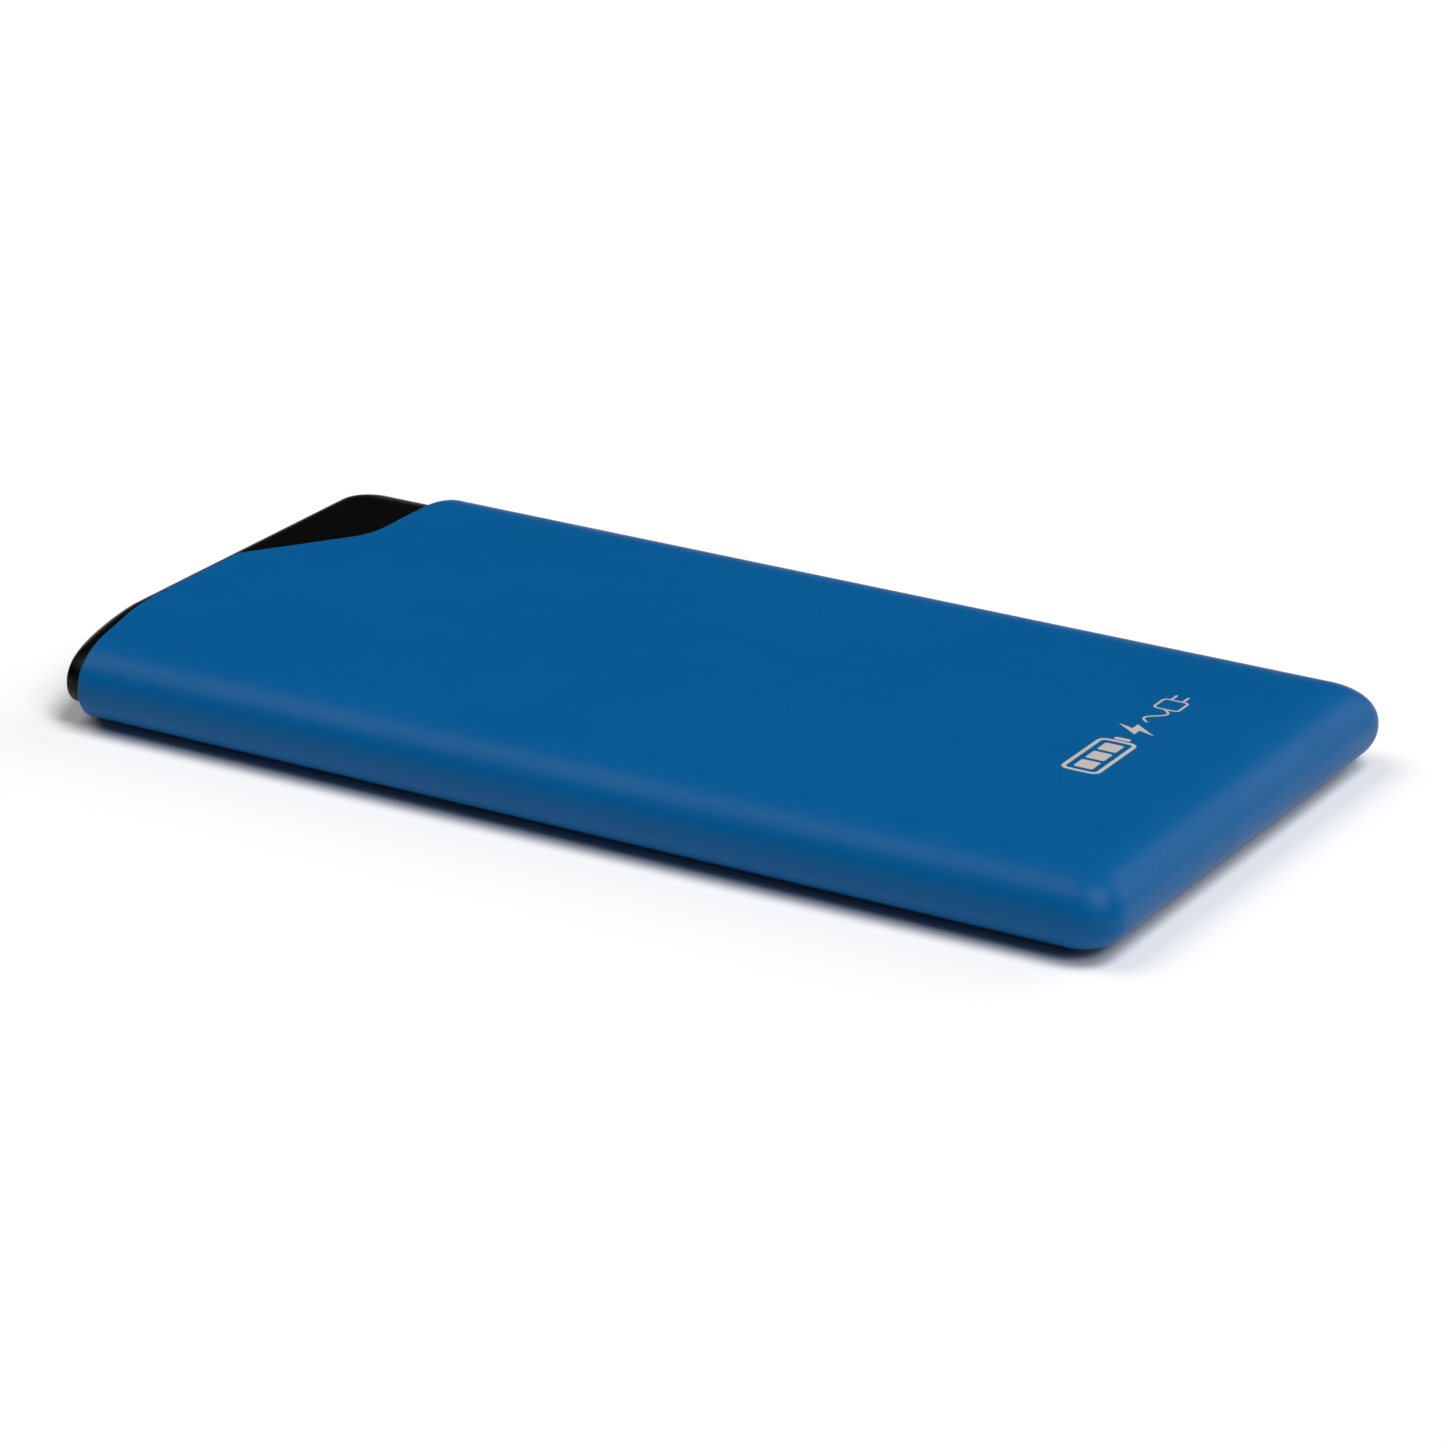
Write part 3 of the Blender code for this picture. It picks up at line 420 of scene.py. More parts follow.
def cap_loop(inset, nose_inset, share, rise, flat):
    """Rings of the cap's outer or inner skin, from its far rear edge round the nose to its near one.

    The far corner is a circle's quarter and the near one a superellipse's. Rising levels go from
    the middle of the underside out over the flat, up the rounded side and in over the flat top.
    """
    depth = cap_depth - inset
    side = np.concatenate([cap_flat * flat, cap_side - inset - share * depth, cap_flat * flat[::-1]])
    level = np.concatenate([np.ones(len(flat)), share, np.ones(len(flat))])
    shrink = np.concatenate([flat, np.ones(len(share)), flat[::-1]])
    z = mid_z + (cap_height - inset) * np.concatenate([-np.ones(len(flat)), rise, np.ones(len(flat))])
    nose = nose_x + nose_inset + level * (nose_edge - nose_inset) + (1 - shrink) * flat_draw
    far = (far_corner - nose_inset + (flat_corner - far_corner + nose_inset) * level) * shrink
    near_x = (near_corner[0] - nose_inset + (nose_inset - nose_edge) * level) * shrink
    near_y = (near_corner[1] - level * depth) * shrink
    side, nose, far, near_x, near_y = (v[:, None] for v in (side, nose, far, near_x, near_y))
    rear = np.linspace(1, 0, 11)[:-1]
    turn = np.linspace(0, np.pi / 2, 33)
    cos, sin = np.clip(np.cos(turn), 0, 1), np.sin(turn)
    across = np.linspace(1, 0, 92)[1:-1]
    low_y, high_y = -side + near_y, side - far
    x = np.concatenate([
        nose + far + (cap_high.x - nose - far) * rear,
        nose + far - far * sin,
        np.repeat(nose, len(across), axis=1),
        nose + near_x * (1 - cos ** (2 / near_power)),
        nose + near_x + (cap_high.x - nose - near_x) * rear[::-1],
    ], axis=1)
    y = np.concatenate([
        np.repeat(side, len(rear), axis=1),
        side - far + far * cos,
        low_y + (high_y - low_y) * across,
        -side + near_y - near_y * sin ** (2 / near_power),
        np.repeat(-side, len(rear), axis=1),
    ], axis=1)
    return np.stack([x, y, np.repeat(z[:, None], x.shape[1], axis=1)], axis=-1)


def nose_at(z):
    """X of the cap's nose at heights z: the superellipse edge of depth nose_edge."""
    reach = np.clip(np.abs(z - mid_z) / cap_height, 0, 1) ** edge_power
    return nose_x + nose_edge * (1 - (1 - reach) ** (1 / edge_power))


def side_at(z):
    """Y of the cap's far side at heights z: the superellipse edge of depth cap_depth."""
    reach = np.clip(np.abs(z - mid_z) / cap_height, 0, 1) ** edge_power
    return cap_side - cap_depth * (1 - (1 - reach) ** (1 / edge_power))


# how far behind the surface, and how much wider than the opening, its cutter is, going inwards
chamfer = ((-0.0006, 0.0008), (-0.0001, 0.0003), (0.0001, 0.00013), (0.00028, 0.00003), (0.00038, 0.0))


def opening_cutter(name, surface_at, centre, half, radius, outside, inside, axes):
    """Cutter for an opening with a small chamfer that follows the curved surface.

    Its rings are round-cornered rectangles. They lie flat at outside, then at the chamfer's depths
    behind surface_at(z), then flat at inside. axes puts (depth, across, up) into x, y and z.
    """
    inwards = np.sign(inside - outside)
    stations = [(None, chamfer[0][1], outside), *((*step, None) for step in chamfer), (None, 0.0, inside)]
    rings = []
    for behind, wider, flat in stations:
        grown = (half[0] + wider, half[1] + wider)
        ring = round_box(centre - grown[0], -grown[1], centre + grown[0], grown[1], radius + wider)
        up = mid_z + ring[:, 1]
        depth = np.full(len(ring), flat) if behind is None else surface_at(up) + inwards * behind
        rings.append(np.stack([depth, ring[:, 0], up], axis=-1)[:, axes])
    return grid_mesh(name, np.array(rings), wrap_columns=True, caps=True)


def nose_cutter(name, y, half, radius):
    outside, inside = nose_x - 0.002, nose_x + nose_edge + 0.0002
    return opening_cutter(name, nose_at, y, half, radius, outside, inside, [0, 1, 2])


def side_cutter(name, x, half, radius):
    outside, inside = cap_side + 0.002, cap_side - 0.003
    return opening_cutter(name, side_at, x, half, radius, outside, inside, [1, 0, 2])


def face_out(piece):
    """Turns all faces of a closed mesh outwards."""
    with edited(piece.data) as shape:
        bmesh.ops.recalc_face_normals(shape, faces=shape.faces)


def shaped(piece, tools, operation="DIFFERENCE"):
    """Cuts the tools from a piece, or joins them to it, and makes the result its own mesh."""
    for tool in tools:
        face_out(tool)
        modifier = piece.modifiers.new(tool.name, "BOOLEAN")
        modifier.operation = operation
        modifier.object = tool
        modifier.solver = "EXACT"
    bpy.context.view_layer.update()
    graph = bpy.context.evaluated_depsgraph_get()
    mesh = bpy.data.meshes.new_from_object(piece.evaluated_get(graph))
    piece.modifiers.clear()
    piece.data = mesh
    for tool in tools:
        bpy.data.objects.remove(tool)


usb_low, usb_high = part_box("usb_a_shell")
usb_y = (usb_low.y + usb_high.y) / 2
micro_low, micro_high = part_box("micro_usb_shell")
micro_y = (micro_low.y + micro_high.y) / 2
key_low, key_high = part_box("power_key")
key_x = (key_low.x + key_high.x) / 2
key_half = (0.00375, 0.0013)  # of the key's face, along X and Z
led_boxes = [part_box(f"led_{number}") for number in (1, 2, 3, 4)]
light_ys = [(low.y + high.y) / 2 for low, high in led_boxes]
window_radius = 0.00055


def cap_skin(name):
    """The cap's outer and inner rings as closed loops, which join at its open rear edge."""
    share, rise = rounded_edge(16)
    flat = np.linspace(0, 1, 9)[:-1]
    outer = cap_loop(0.0, 0.0, share, rise, flat)
    inner = cap_loop(core_wall, nose_wall, share, rise, flat)
    return grid_mesh(name, np.concatenate([outer, inner[:, ::-1]], axis=1), wrap_columns=True)


cap = cap_skin("black_cap")
gap = 0.00015
usb_half = ((usb_high.y - usb_low.y) / 2 + gap, (usb_high.z - usb_low.z) / 2 + gap)
micro_half = ((micro_high.y - micro_low.y) / 2 + 2 * gap, (micro_high.z - micro_low.z) / 2 + 2 * gap)
key_hole = (key_half[0] + gap, key_half[1] + gap)
light_hole = (window_radius + gap, window_radius + gap)
openings = [
    nose_cutter("usb_a_opening", usb_y, usb_half, 0.0006),
    nose_cutter("micro_usb_opening", micro_y, micro_half, 0.0008),
    side_cutter("key_opening", key_x, key_hole, 0.98 * key_hole[1]),
]
for number, y in enumerate(light_ys, 1):
    openings.append(nose_cutter(f"light_hole_{number}", y, light_hole, 0.98 * light_hole[0]))
shaped(cap, openings)
satin_black = moulded_plastic("satin_black_plastic", (0.0012, 0.0010, 0.0013), 0.34, gloss=0.08)
finished(cap, satin_black, "housing", ["end_cap"], 38)

# ------------------------------------------------------------
# USB-A socket. A folded steel shell with four leaf springs, round a black insulator whose tongue
# carries four gold-flashed contacts. It stands in a notch of the main board.
sheet = 0.0003


def lofted(name, rings, caps=True, wrap=False):
    """Mesh through rings of equal numbers of points, (rings, points, 3), with its faces outwards."""
    piece = grid_mesh(name, np.asarray(rings), wrap_columns=True, wrap_rows=wrap, caps=caps)
    face_out(piece)
    return piece


def bar_rings(axis, stations, steps=5):
    """Round-cornered rectangles square to an axis, one for each station.

    A station is (place along the axis, low and high corner across it, radius).
    """
    rings = []
    for along, low, high, radius in stations:
        ring = round_box(low[0], low[1], high[0], high[1], radius, steps)
        rings.append(np.insert(ring, axis, along, axis=1))
    return np.array(rings)


def block_rings(axis, low, high, radius, ease, steps=5):
    """Stations of a block between two corners: its long edges rounded, its end edges eased."""
    across = [i for i in range(3) if i != axis]
    low, high = np.asarray(low, float), np.asarray(high, float)
    ends = ((low[axis], ease), (low[axis] + ease, 0), (high[axis] - ease, 0), (high[axis], ease))
    stations = []
    for along, inset in ends:
        corners = (low[across] + inset, high[across] - inset)
        stations.append((along, *corners, max(radius - inset, radius / 3)))
    return bar_rings(axis, stations, steps)


def block(name, axis, low, high, radius, ease, steps=5):
    return lofted(name, block_rings(axis, low, high, radius, ease, steps))


def metal(name, colour, roughness, brush=(1, 1, 1), scratch=0.03, grain=0.0003):
    """Bare or plated metal: fine draw lines stretched by brush, and blotches in the roughness."""
    material, tree, shader, place = new_material(name)
    stretched = added(tree, "Mapping", {"Vector": place, "Scale": brush}).outputs["Vector"]
    lines = noise(tree, stretched, grain, 3.0)
    dark, pale = np.array(colour) * 0.95, np.minimum(np.array(colour) * 1.03, 1)
    smoother, rougher = [roughness - scratch] * 3, [roughness + scratch] * 3
    fed(tree, shader, {
        "Metallic": 1.0,
        "Base Color": ramp(tree, lines, 0.3, 0.7, dark, pale),
        "Roughness": ramp(tree, noise(tree, place, 1 / 900), 0.3, 0.7, smoother, rougher),
        "Normal": relief(tree, lines, 0.08, grain * 0.02),
    })
    return material


def socket_shell(name, low, high, wall, radius):
    """Drawn tube along X: outer rings front to rear, inner rings rear to front, edges eased."""
    ease = wall * 0.3
    front, rear = low[0], high[0]
    outer_low, outer_high = np.array(low[1:3]), np.array(high[1:3])
    stations = []
    for x, inset in (
        (front, wall * 0.5), (front + ease, ease * 0.4), (front + 2 * ease, 0),
        (rear - ease, 0), (rear, ease), (rear, wall - ease), (rear - ease, wall),
        (front + 2 * ease, wall), (front + ease, wall - ease * 0.4),
    ):
        stations.append((x, outer_low + inset, outer_high - inset, radius - inset * 0.6))
    return lofted(name, bar_rings(0, stations), caps=False, wrap=True)


def leaf_spring(name, x, y, wall_z, inwards, length=0.0072, width=0.0019):
    """Leaf lanced from the shell's wall: it bows inwards as half a sine and curls up at its tip."""
    along = np.linspace(0, 1, 25)
    bow = 0.00042 * np.sin(np.pi * np.minimum(along * 1.12, 1)) ** 1.3 + 0.00016 * along
    across = np.array([-1, -0.92, 0.92, 1]) * width / 2
    points = np.zeros((len(along), len(across), 3))
    points[..., 0] = (x - length * along)[:, None]
    points[..., 1] = y + across * (1 - 0.18 * along[:, None])
    points[..., 2] = (wall_z + inwards * (bow + 0.00002))[:, None]
    piece = grid_mesh(name, points)
    wall = piece.modifiers.new("sheet", "SOLIDIFY")
    wall.thickness = 0.00018
    wall.offset = 0
    return piece


plated_steel = metal("nickel_plated_steel", (0.62, 0.61, 0.59), 0.27, brush=(0.08, 1, 1))
gold_flash = metal("gold_flashed_copper", (0.86, 0.62, 0.26), 0.22, brush=(0.1, 1, 1))
connector_black = moulded_plastic("connector_plastic", (0.008, 0.008, 0.009), 0.5, 0.00008, gloss=0.4)

usb_shell = socket_shell("usb_a_drawn_shell", usb_low, usb_high, sheet, 0.0006)
finished(usb_shell, plated_steel, "housing", ["usb_a_shell"])
for number, (side, level) in enumerate(((-1, 1), (1, 1), (-1, -1), (1, -1)), 1):
    wall_z = mid_z + level * (usb_high.z - mid_z - sheet)
    root = (usb_low.x + 0.0090, usb_y + side * 0.0032, wall_z)
    spring = leaf_spring(f"usb_a_leaf_{number}", *root, -level)
    finished(spring, plated_steel, "housing")


def tongue_stations(y, half, low_z, high_z, radius, ends):
    """Stations of a flat tongue or block about y, drawn in by an inset at each x of its ends."""
    return [
        (x, (y - half + inset, low_z + inset), (y + half - inset, high_z - inset), radius)
        for x, inset in ends
    ]


tongue_low, tongue_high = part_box("usb_a_insulator")
_, contact_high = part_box("usb_a_contact_1")
tongue_half, tongue_thick = 0.00555, 0.00184
tongue_base = contact_high.x + 0.0001
under = contact_high.z + 0.00005
block_half = (tongue_high.y - tongue_low.y) / 2
stations = tongue_stations(usb_y, tongue_half, under, under + tongue_thick, 0.0002, (
    (tongue_low.x, 0.00035), (tongue_low.x + 0.0002, 0.00012), (tongue_low.x + 0.0005, 0), (tongue_base, 0),
))
base_ends = ((tongue_base, 0), (tongue_high.x, 0))
stations += tongue_stations(usb_y, block_half, tongue_low.z, tongue_high.z, 0.0004, base_ends)
tongue = lofted("usb_a_tongue", bar_rings(0, stations))
finished(tongue, connector_black, "housing", ["usb_a_insulator"], 30)


def contact_strip(name, low, high):
    """Gold strip with eased sides whose front third springs away from the tongue by half a sine."""
    steps = np.linspace(0, 1, 14)
    lift = 0.00016 * np.sin(np.pi * np.clip(steps * 3, 0, 1))
    radius = 0.00006
    stations = []
    for step, rise in zip(steps, lift):
        narrow = radius * (step == 0)
        corners = ((low.y + narrow, low.z - rise), (high.y - narrow, high.z - rise))
        stations.append((low.x + (high.x - low.x) * step, *corners, radius))
    return lofted(name, bar_rings(0, stations, 3))


for number in (1, 2, 3, 4):
    strip = contact_strip(f"usb_a_strip_{number}", *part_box(f"usb_a_contact_{number}"))
    finished(strip, gold_flash, "housing", [f"usb_a_contact_{number}"])

# ------------------------------------------------------------
# Micro-USB socket. A thin steel shell with chamfered lower corners and a flared mouth, soldered
# on the main board, round a thin tongue with five contacts.
micro_wall = 0.00025


def micro_ring(x, inset, flare=0.0):
    """Socket outline at x: round upper corners, and lower corners cut off at 45 degrees."""
    left, right = micro_low.y + inset - flare, micro_high.y - inset + flare
    bottom, top = micro_low.z + inset - flare, micro_high.z - inset + flare
    cut = 0.0011 - inset * 0.4
    lower = [(left + cut, bottom), (right - cut, bottom), (right, bottom + cut)]
    corners = np.array([*lower, (right, top), (left, top), (left, bottom + cut)])
    radii = np.array([0.0003, 0.0003, 0.0003, 0.00055 - inset, 0.00055 - inset, 0.0003])
    before, after = np.roll(corners, 1, axis=0), np.roll(corners, -1, axis=0)
    ring = corner_arcs(before, corners, after, radii, 5).reshape(-1, 2)
    return np.insert(ring, 0, x, axis=1)


front, rear = micro_low.x, micro_high.x
flared, straight = front + 0.00008, front + 0.0005
micro_rings = [
    micro_ring(front, 0.5 * micro_wall, 0.00012),
    micro_ring(flared, 0, 0.0001), micro_ring(straight, 0), micro_ring(rear, 0),
    micro_ring(rear, micro_wall), micro_ring(straight, micro_wall), micro_ring(flared, micro_wall, 0.0001),
]
micro_shell = lofted("micro_usb_drawn_shell", micro_rings, caps=False, wrap=True)
finished(micro_shell, plated_steel, "housing", ["micro_usb_shell"])

blade_low, blade_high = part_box("micro_usb_insulator")
blade_half = 0.0023
blade_under, blade_over = mid_z - 0.0001, mid_z + 0.0006
blade_rear = blade_high.x - 0.0010
stations = tongue_stations(micro_y, blade_half, blade_under, blade_over, 0.0001, (
    (blade_low.x, 0.00012), (blade_low.x + 0.00015, 0), (blade_rear, 0),
))
base_half, base_ends = (blade_high.y - blade_low.y) / 2, ((blade_rear, 0), (blade_high.x, 0))
stations += tongue_stations(micro_y, base_half, blade_low.z, blade_high.z, 0.0003, base_ends)
blade = lofted("micro_usb_tongue", bar_rings(0, stations))
finished(blade, connector_black, "housing", ["micro_usb_insulator"], 30)
pin_pitch, pin_half = 0.00065, 0.00018
for number in range(5):
    y = micro_y + (number - 2) * pin_pitch
    pin_low = (blade_low.x + 0.0004, y - pin_half, blade_under - 0.0001)
    pin_high = (blade_rear, y + pin_half, blade_under + 0.00003)
    pin = block(f"micro_usb_pin_{number + 1}", 0, pin_low, pin_high, 0.00004, 0.00003, 3)
    finished(pin, gold_flash, "housing")

# ------------------------------------------------------------
# Charge lights. One milky moulding: a bar with four round windows, each behind its own hole in
# the nose and with a low dome, over four white side-view LEDs soldered to the board's edge.
pipe_low, pipe_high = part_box("light_pipe")


def domed_pin(name, y, tip_x, foot_x, radius):
    """Round pin along X, turned from a profile with a low dome, a quarter ellipse, at its tip."""
    angle = np.linspace(0, np.pi / 2, 7)
    profile_r = np.concatenate([radius * np.sin(angle), [radius]])
    profile_x = np.concatenate([tip_x + 0.00022 * (1 - np.cos(angle)), [foot_x]])
    turn = np.linspace(0, 2 * np.pi, 33)[:-1] + np.pi / 32
    rings = np.zeros((len(profile_r), len(turn), 3))
    rings[..., 0] = profile_x[:, None]
    rings[..., 1] = y + profile_r[:, None] * np.cos(turn)
    rings[..., 2] = mid_z + profile_r[:, None] * np.sin(turn)
    rings[0, :, 1:] = (y, mid_z)
    piece = grid_mesh(name, rings, wrap_columns=True)
    with edited(piece.data) as shape:
        bmesh.ops.holes_fill(shape, edges=[edge for edge in shape.edges if edge.is_boundary], sides=0)
    face_out(piece)
    return piece


def milky_plastic(name):
    """Diffusing acrylic: near-white body that lets light in, with a clear gloss skin."""
    material = moulded_plastic(name, (0.74, 0.77, 0.79), 0.22, grain_size=0.0002, grain=0.06, swirl=0.03)
    tree = material.node_tree
    fed(tree, tree.nodes["Principled BSDF"], {
        "Subsurface Weight": 0.35,
        "Subsurface Scale": 0.0006,
        "Subsurface Radius": (1.0, 1.0, 1.0),
        "Coat Weight": 0.3,
    })
    return material


bar_front = nose_x + nose_wall + 0.0003
pin_tip, pin_foot = nose_x + 0.00012, bar_front + 0.0003
pipe = block("milky_light_pipe", 0, (bar_front, pipe_low.y, pipe_low.z), pipe_high, 0.0002, 0.0001)
pins = [domed_pin(f"window_{n}", y, pin_tip, pin_foot, window_radius) for n, y in enumerate(light_ys, 1)]
shaped(pipe, pins, "UNION")
finished(pipe, milky_plastic("milky_acrylic"), "housing", ["light_pipe"])

# ------------------------------------------------------------
# Power key. Black moulding with a round-ended, slightly crowned face in the cap's far side. A
# flange behind keeps it in, and its stem presses the plunger of a side-push switch.
flange_back = key_low.y + 0.0007
shoulder = flange_back + 0.0006
flange_half = key_half[0] + 0.0010
stem_half = (0.0012, 0.0006)
face_y = key_high.y
face_rim = 0.00035
face_crown = 0.00008


def key_rings():
    """Rings from the stem's end, over the flange and the shoulder, to the middle of the face.

    The face's rim is a quarter circle of face_rim, and the face rises face_crown to its middle line.
    """
    half_x, half_z = key_half
    end = half_z * 0.96  # radius of the face's round ends
    stations = [
        (key_low.y, *stem_half, 0.0001),
        (flange_back, *stem_half, 0.0001),
        (flange_back, flange_half, half_z * 0.92, half_z * 0.88),
        (shoulder, flange_half, half_z * 0.92, half_z * 0.88),
        (shoulder, half_x, half_z, end),
    ]
    angle = np.linspace(0, np.pi / 2, 7)
    for inset, lift in zip(face_rim * (1 - np.cos(angle)), face_rim * np.sin(angle)):
        stations.append((face_y - face_crown - face_rim + lift, half_x - inset, half_z - inset, end - inset))
    for share in (0.35, 0.7, 0.999):
        inset = face_rim + (end - face_rim) * share
        y = face_y - face_crown * (1 - share)
        stations.append((y, half_x - inset, half_z - inset, end - inset + 1e-6))
    return bar_rings(1, [
        (y, (key_x - wide, mid_z - high), (key_x + wide, mid_z + high), max(radius, 1e-6))
        for y, wide, high, radius in stations
    ], 8)


key = lofted("black_power_key", key_rings())
key_plastic = moulded_plastic("key_plastic", (0.0024, 0.0023, 0.0026), 0.32, gloss=0.14)
finished(key, key_plastic, "key", ["power_key"], 32)

# ------------------------------------------------------------
# Side-push switch. A folded steel can soldered to the main board's far edge, with a black nylon
# plunger that the key's stem pushes in by 0.3 mm.


def dressed(material, *names):
    """Gives CAD nodes that stay in view a finished material."""
    for name in names:
        for place in nodes[name].material_slots:
            place.material = material
        if not nodes[name].material_slots:
            nodes[name].data.materials.append(material)


dressed(metal("folded_can_steel", (0.55, 0.55, 0.54), 0.34, brush=(1, 1, 0.1)), "tact_switch")
dressed(connector_black, "switch_plunger")

# ------------------------------------------------------------
# Chassis. A tray and a lid in plain black ABS that close over the cell. Two snap arms on the tray
# reach into the end cap and hook into windows in its sides.
chassis_black = moulded_plastic("chassis_abs", (0.018, 0.018, 0.019), 0.52, grain_size=0.0003, grain=0.35)
dressed(chassis_black, "chassis_tray", "chassis_lid")

# ------------------------------------------------------------
# Pouch cell. A drawn cup of aluminium-laminate film, crowned a little by its layers, with its side
# seams folded up against it and a flat sealed terrace in front, where the nickel tabs come out.
cell_low, cell_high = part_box("battery_cell")
tab_low, tab_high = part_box("positive_tab")
cup_side = (cell_high.y - cell_low.y) / 2
terrace = 0.0028
seam = 0.00035


def drawn_cup(name):
    """Cup with rounded sides and ends. Its two faces rise by crown to the middle, as
    (1 - u^4)(1 - v^4), and fall to the parting plane as quarter ellipses over edge_fall.
    """
    u = np.sin(np.linspace(-np.pi / 2, np.pi / 2, 61))
    v = np.sin(np.linspace(-np.pi / 2, np.pi / 2, 97))
    u, v = np.meshgrid(u, v)
    half = (cup_side - seam - 0.0001, (cell_high.x - cell_low.x - terrace) / 2)
    height = (cell_high.z - cell_low.z) / 2
    crown, edge_fall = 0.00015, (0.0016, 0.0022)
    from_side = np.clip((1 - np.abs(u)) * half[0] / edge_fall[0], 0, 1)
    from_end = np.clip((1 - np.abs(v)) * half[1] / edge_fall[1], 0, 1)
    fall = np.sqrt(1 - (1 - from_side) ** 2) * np.sqrt(1 - (1 - from_end) ** 2)
    lift = (height - crown + crown * (1 - u**4) * (1 - v**4)) * fall
    x = cell_low.x + terrace + half[1] * (1 + v)
    y = half[0] * u
    middle = (cell_low.z + cell_high.z) / 2
    upper = grid_mesh(f"{name}_upper", np.stack([x, y, middle + lift], axis=-1)[:, ::-1])
    lower = grid_mesh(f"{name}_lower", np.stack([x, y, middle - lift], axis=-1))
    cup = joined(name, [upper, lower])
    with edited(cup.data) as shape:
        bmesh.ops.remove_doubles(shape, verts=shape.verts, dist=1e-7)
    face_out(cup)
    return cup


def reopened(material):
    """A material's tree, shader, object coordinates and present relief, to be added to."""
    tree = material.node_tree
    shader = tree.nodes["Principled BSDF"]
    place = next(node for node in tree.nodes if node.type == "TEX_COORD").outputs["Object"]
    return tree, shader, place, shader.inputs["Normal"].links[0].from_socket


def foil_laminate(name):
    """Polymer-coated aluminium film: soft dents between the layers, and a fine rolled line."""
    material = metal(name, (0.60, 0.61, 0.63), 0.38, brush=(0.05, 1, 1), scratch=0.03, grain=0.0006)
    tree, shader, place, fine = reopened(material)
    dents = relief(tree, noise(tree, place, 1 / 160, 1), 0.3, 0.0002, Normal=fine)
    fed(tree, shader, {"Metallic": 0.85, "Normal": dents})
    return material


seam_x = (cell_low.x + 0.0012, cell_high.x - 0.0010)
seam_z = (cell_low.z + 0.0009, cell_high.z - 0.0011)
pouch_parts = [drawn_cup("cup")]
for edge_y in ((-cup_side, -cup_side + seam), (cup_side - seam, cup_side)):
    low_corner, high_corner = zip(seam_x, edge_y, seam_z)
    pouch_parts.append(block("seam", 0, low_corner, high_corner, 0.00015, 0.0001, 3))
low_corner = (cell_low.x, -cup_side + seam + 0.0006, tab_low.z - 0.00012)
high_corner = (cell_low.x + terrace + 0.0006, cup_side - seam - 0.0006, tab_high.z + 0.00012)
pouch_parts.append(block("terrace", 0, low_corner, high_corner, 0.00012, 0.00005, 3))
pouch = joined("foil_pouch_cell", pouch_parts)
finished(pouch, foil_laminate("aluminium_laminate"), "housing", ["battery_cell"], 40)


def film(name, colour, roughness, cell_size, depth, gloss=0.5):
    """Film or foam: colour, and a relief of rounded cells by distance to scattered points."""
    material = moulded_plastic(name, colour, roughness, cell_size, grain=0.3, gloss=gloss, swirl=0.08)
    tree, shader, place, fine = reopened(material)
    cells = added(tree, "TexVoronoi", {"Vector": place, "Scale": 1 / cell_size}).outputs["Distance"]
    fed(tree, shader, {"Normal": relief(tree, cells, 0.6, depth, Normal=fine)})
    return material


foam = film("open_cell_foam", (0.035, 0.035, 0.038), 0.85, 0.0004, 0.0001, gloss=0.2)
dressed(foam, "foam_pad", "end_pad")
amber = film("amber_film", (0.42, 0.20, 0.025), 0.3, 0.0012, 0.00001, gloss=0.6)
dressed(amber, "adhesive_strip", "insulating_strip")

# ------------------------------------------------------------
# Screws. Two steel self-tapping screws with a low pan head and a cross recess hold the main board
# on the end cap's posts. The thread is rolled.


def rolled_screw(name, node):
    """Radius over (turn, height): a ramp that climbs one pitch each turn, then the pan head.

    The thread's radius is root + depth * (1 - |2 * part(z / pitch - turn / 2 pi) - 1|), where part
    takes the fraction. The head is a short cylinder under a dome with r = sqrt(cos a), z = sin a.
    """
    low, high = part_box(node)
    centre = (low + high) / 2
    head_radius = (high.x - low.x) / 2
    head_foot, dome = high.z - 0.0006, 0.0003
    root, depth, pitch = 0.00050, 0.00017, 0.00045
    turn = np.linspace(0, 2 * np.pi, 49)[:-1]
    shank = np.linspace(0, 1, 90)
    z = low.z + (head_foot - low.z + 0.0001) * shank
    wave = (z[:, None] / pitch - turn / (2 * np.pi)) % 1
    taper = np.clip(shank * 9, 0.25, 1)[:, None]
    radius = (root + depth * (1 - np.abs(2 * wave - 1))) * taper
    share = np.linspace(0, 1, 12)
    head_r = head_radius * np.array([0.96, 1, *np.cos(share * np.pi / 2) ** 0.5])
    head_z = [head_foot, head_foot + 0.00008, *(high.z - dome + dome * np.sin(share * np.pi / 2))]
    radius = np.concatenate([np.zeros((1, 48)), radius, head_r[:, None] * np.ones(48)])
    z = np.concatenate([[low.z], z, head_z])
    points = np.zeros((*radius.shape, 3))
    points[..., 0] = centre.x + radius * np.cos(turn)
    points[..., 1] = centre.y + radius * np.sin(turn)
    points[..., 2] = z[:, None]
    screw = grid_mesh(name, points, wrap_columns=True)
    face_out(screw)
    recess = []
    for wide, long in ((0.00016, 0.00075), (0.00075, 0.00016)):
        low_corner = (centre.x - wide, centre.y - long, high.z - 0.0004)
        high_corner = (centre.x + wide, centre.y + long, high.z + 0.0004)
        recess.append(block("recess", 2, low_corner, high_corner, 0.00005, 0.00005, 2))
    shaped(screw, recess)
    return screw


screw_steel = metal("zinc_plated_steel", (0.52, 0.53, 0.54), 0.33, brush=(1, 1, 1))
for number in (1, 2):
    screw = rolled_screw(f"pan_head_screw_{number}", f"board_screw_{number}")
    finished(screw, screw_steel, "housing", [f"board_screw_{number}"], 40)

# ------------------------------------------------------------
# Main board and protection board. Glass-epoxy laminate with a green solder mask over copper
# tracks. Both carry their parts on the upper face only.


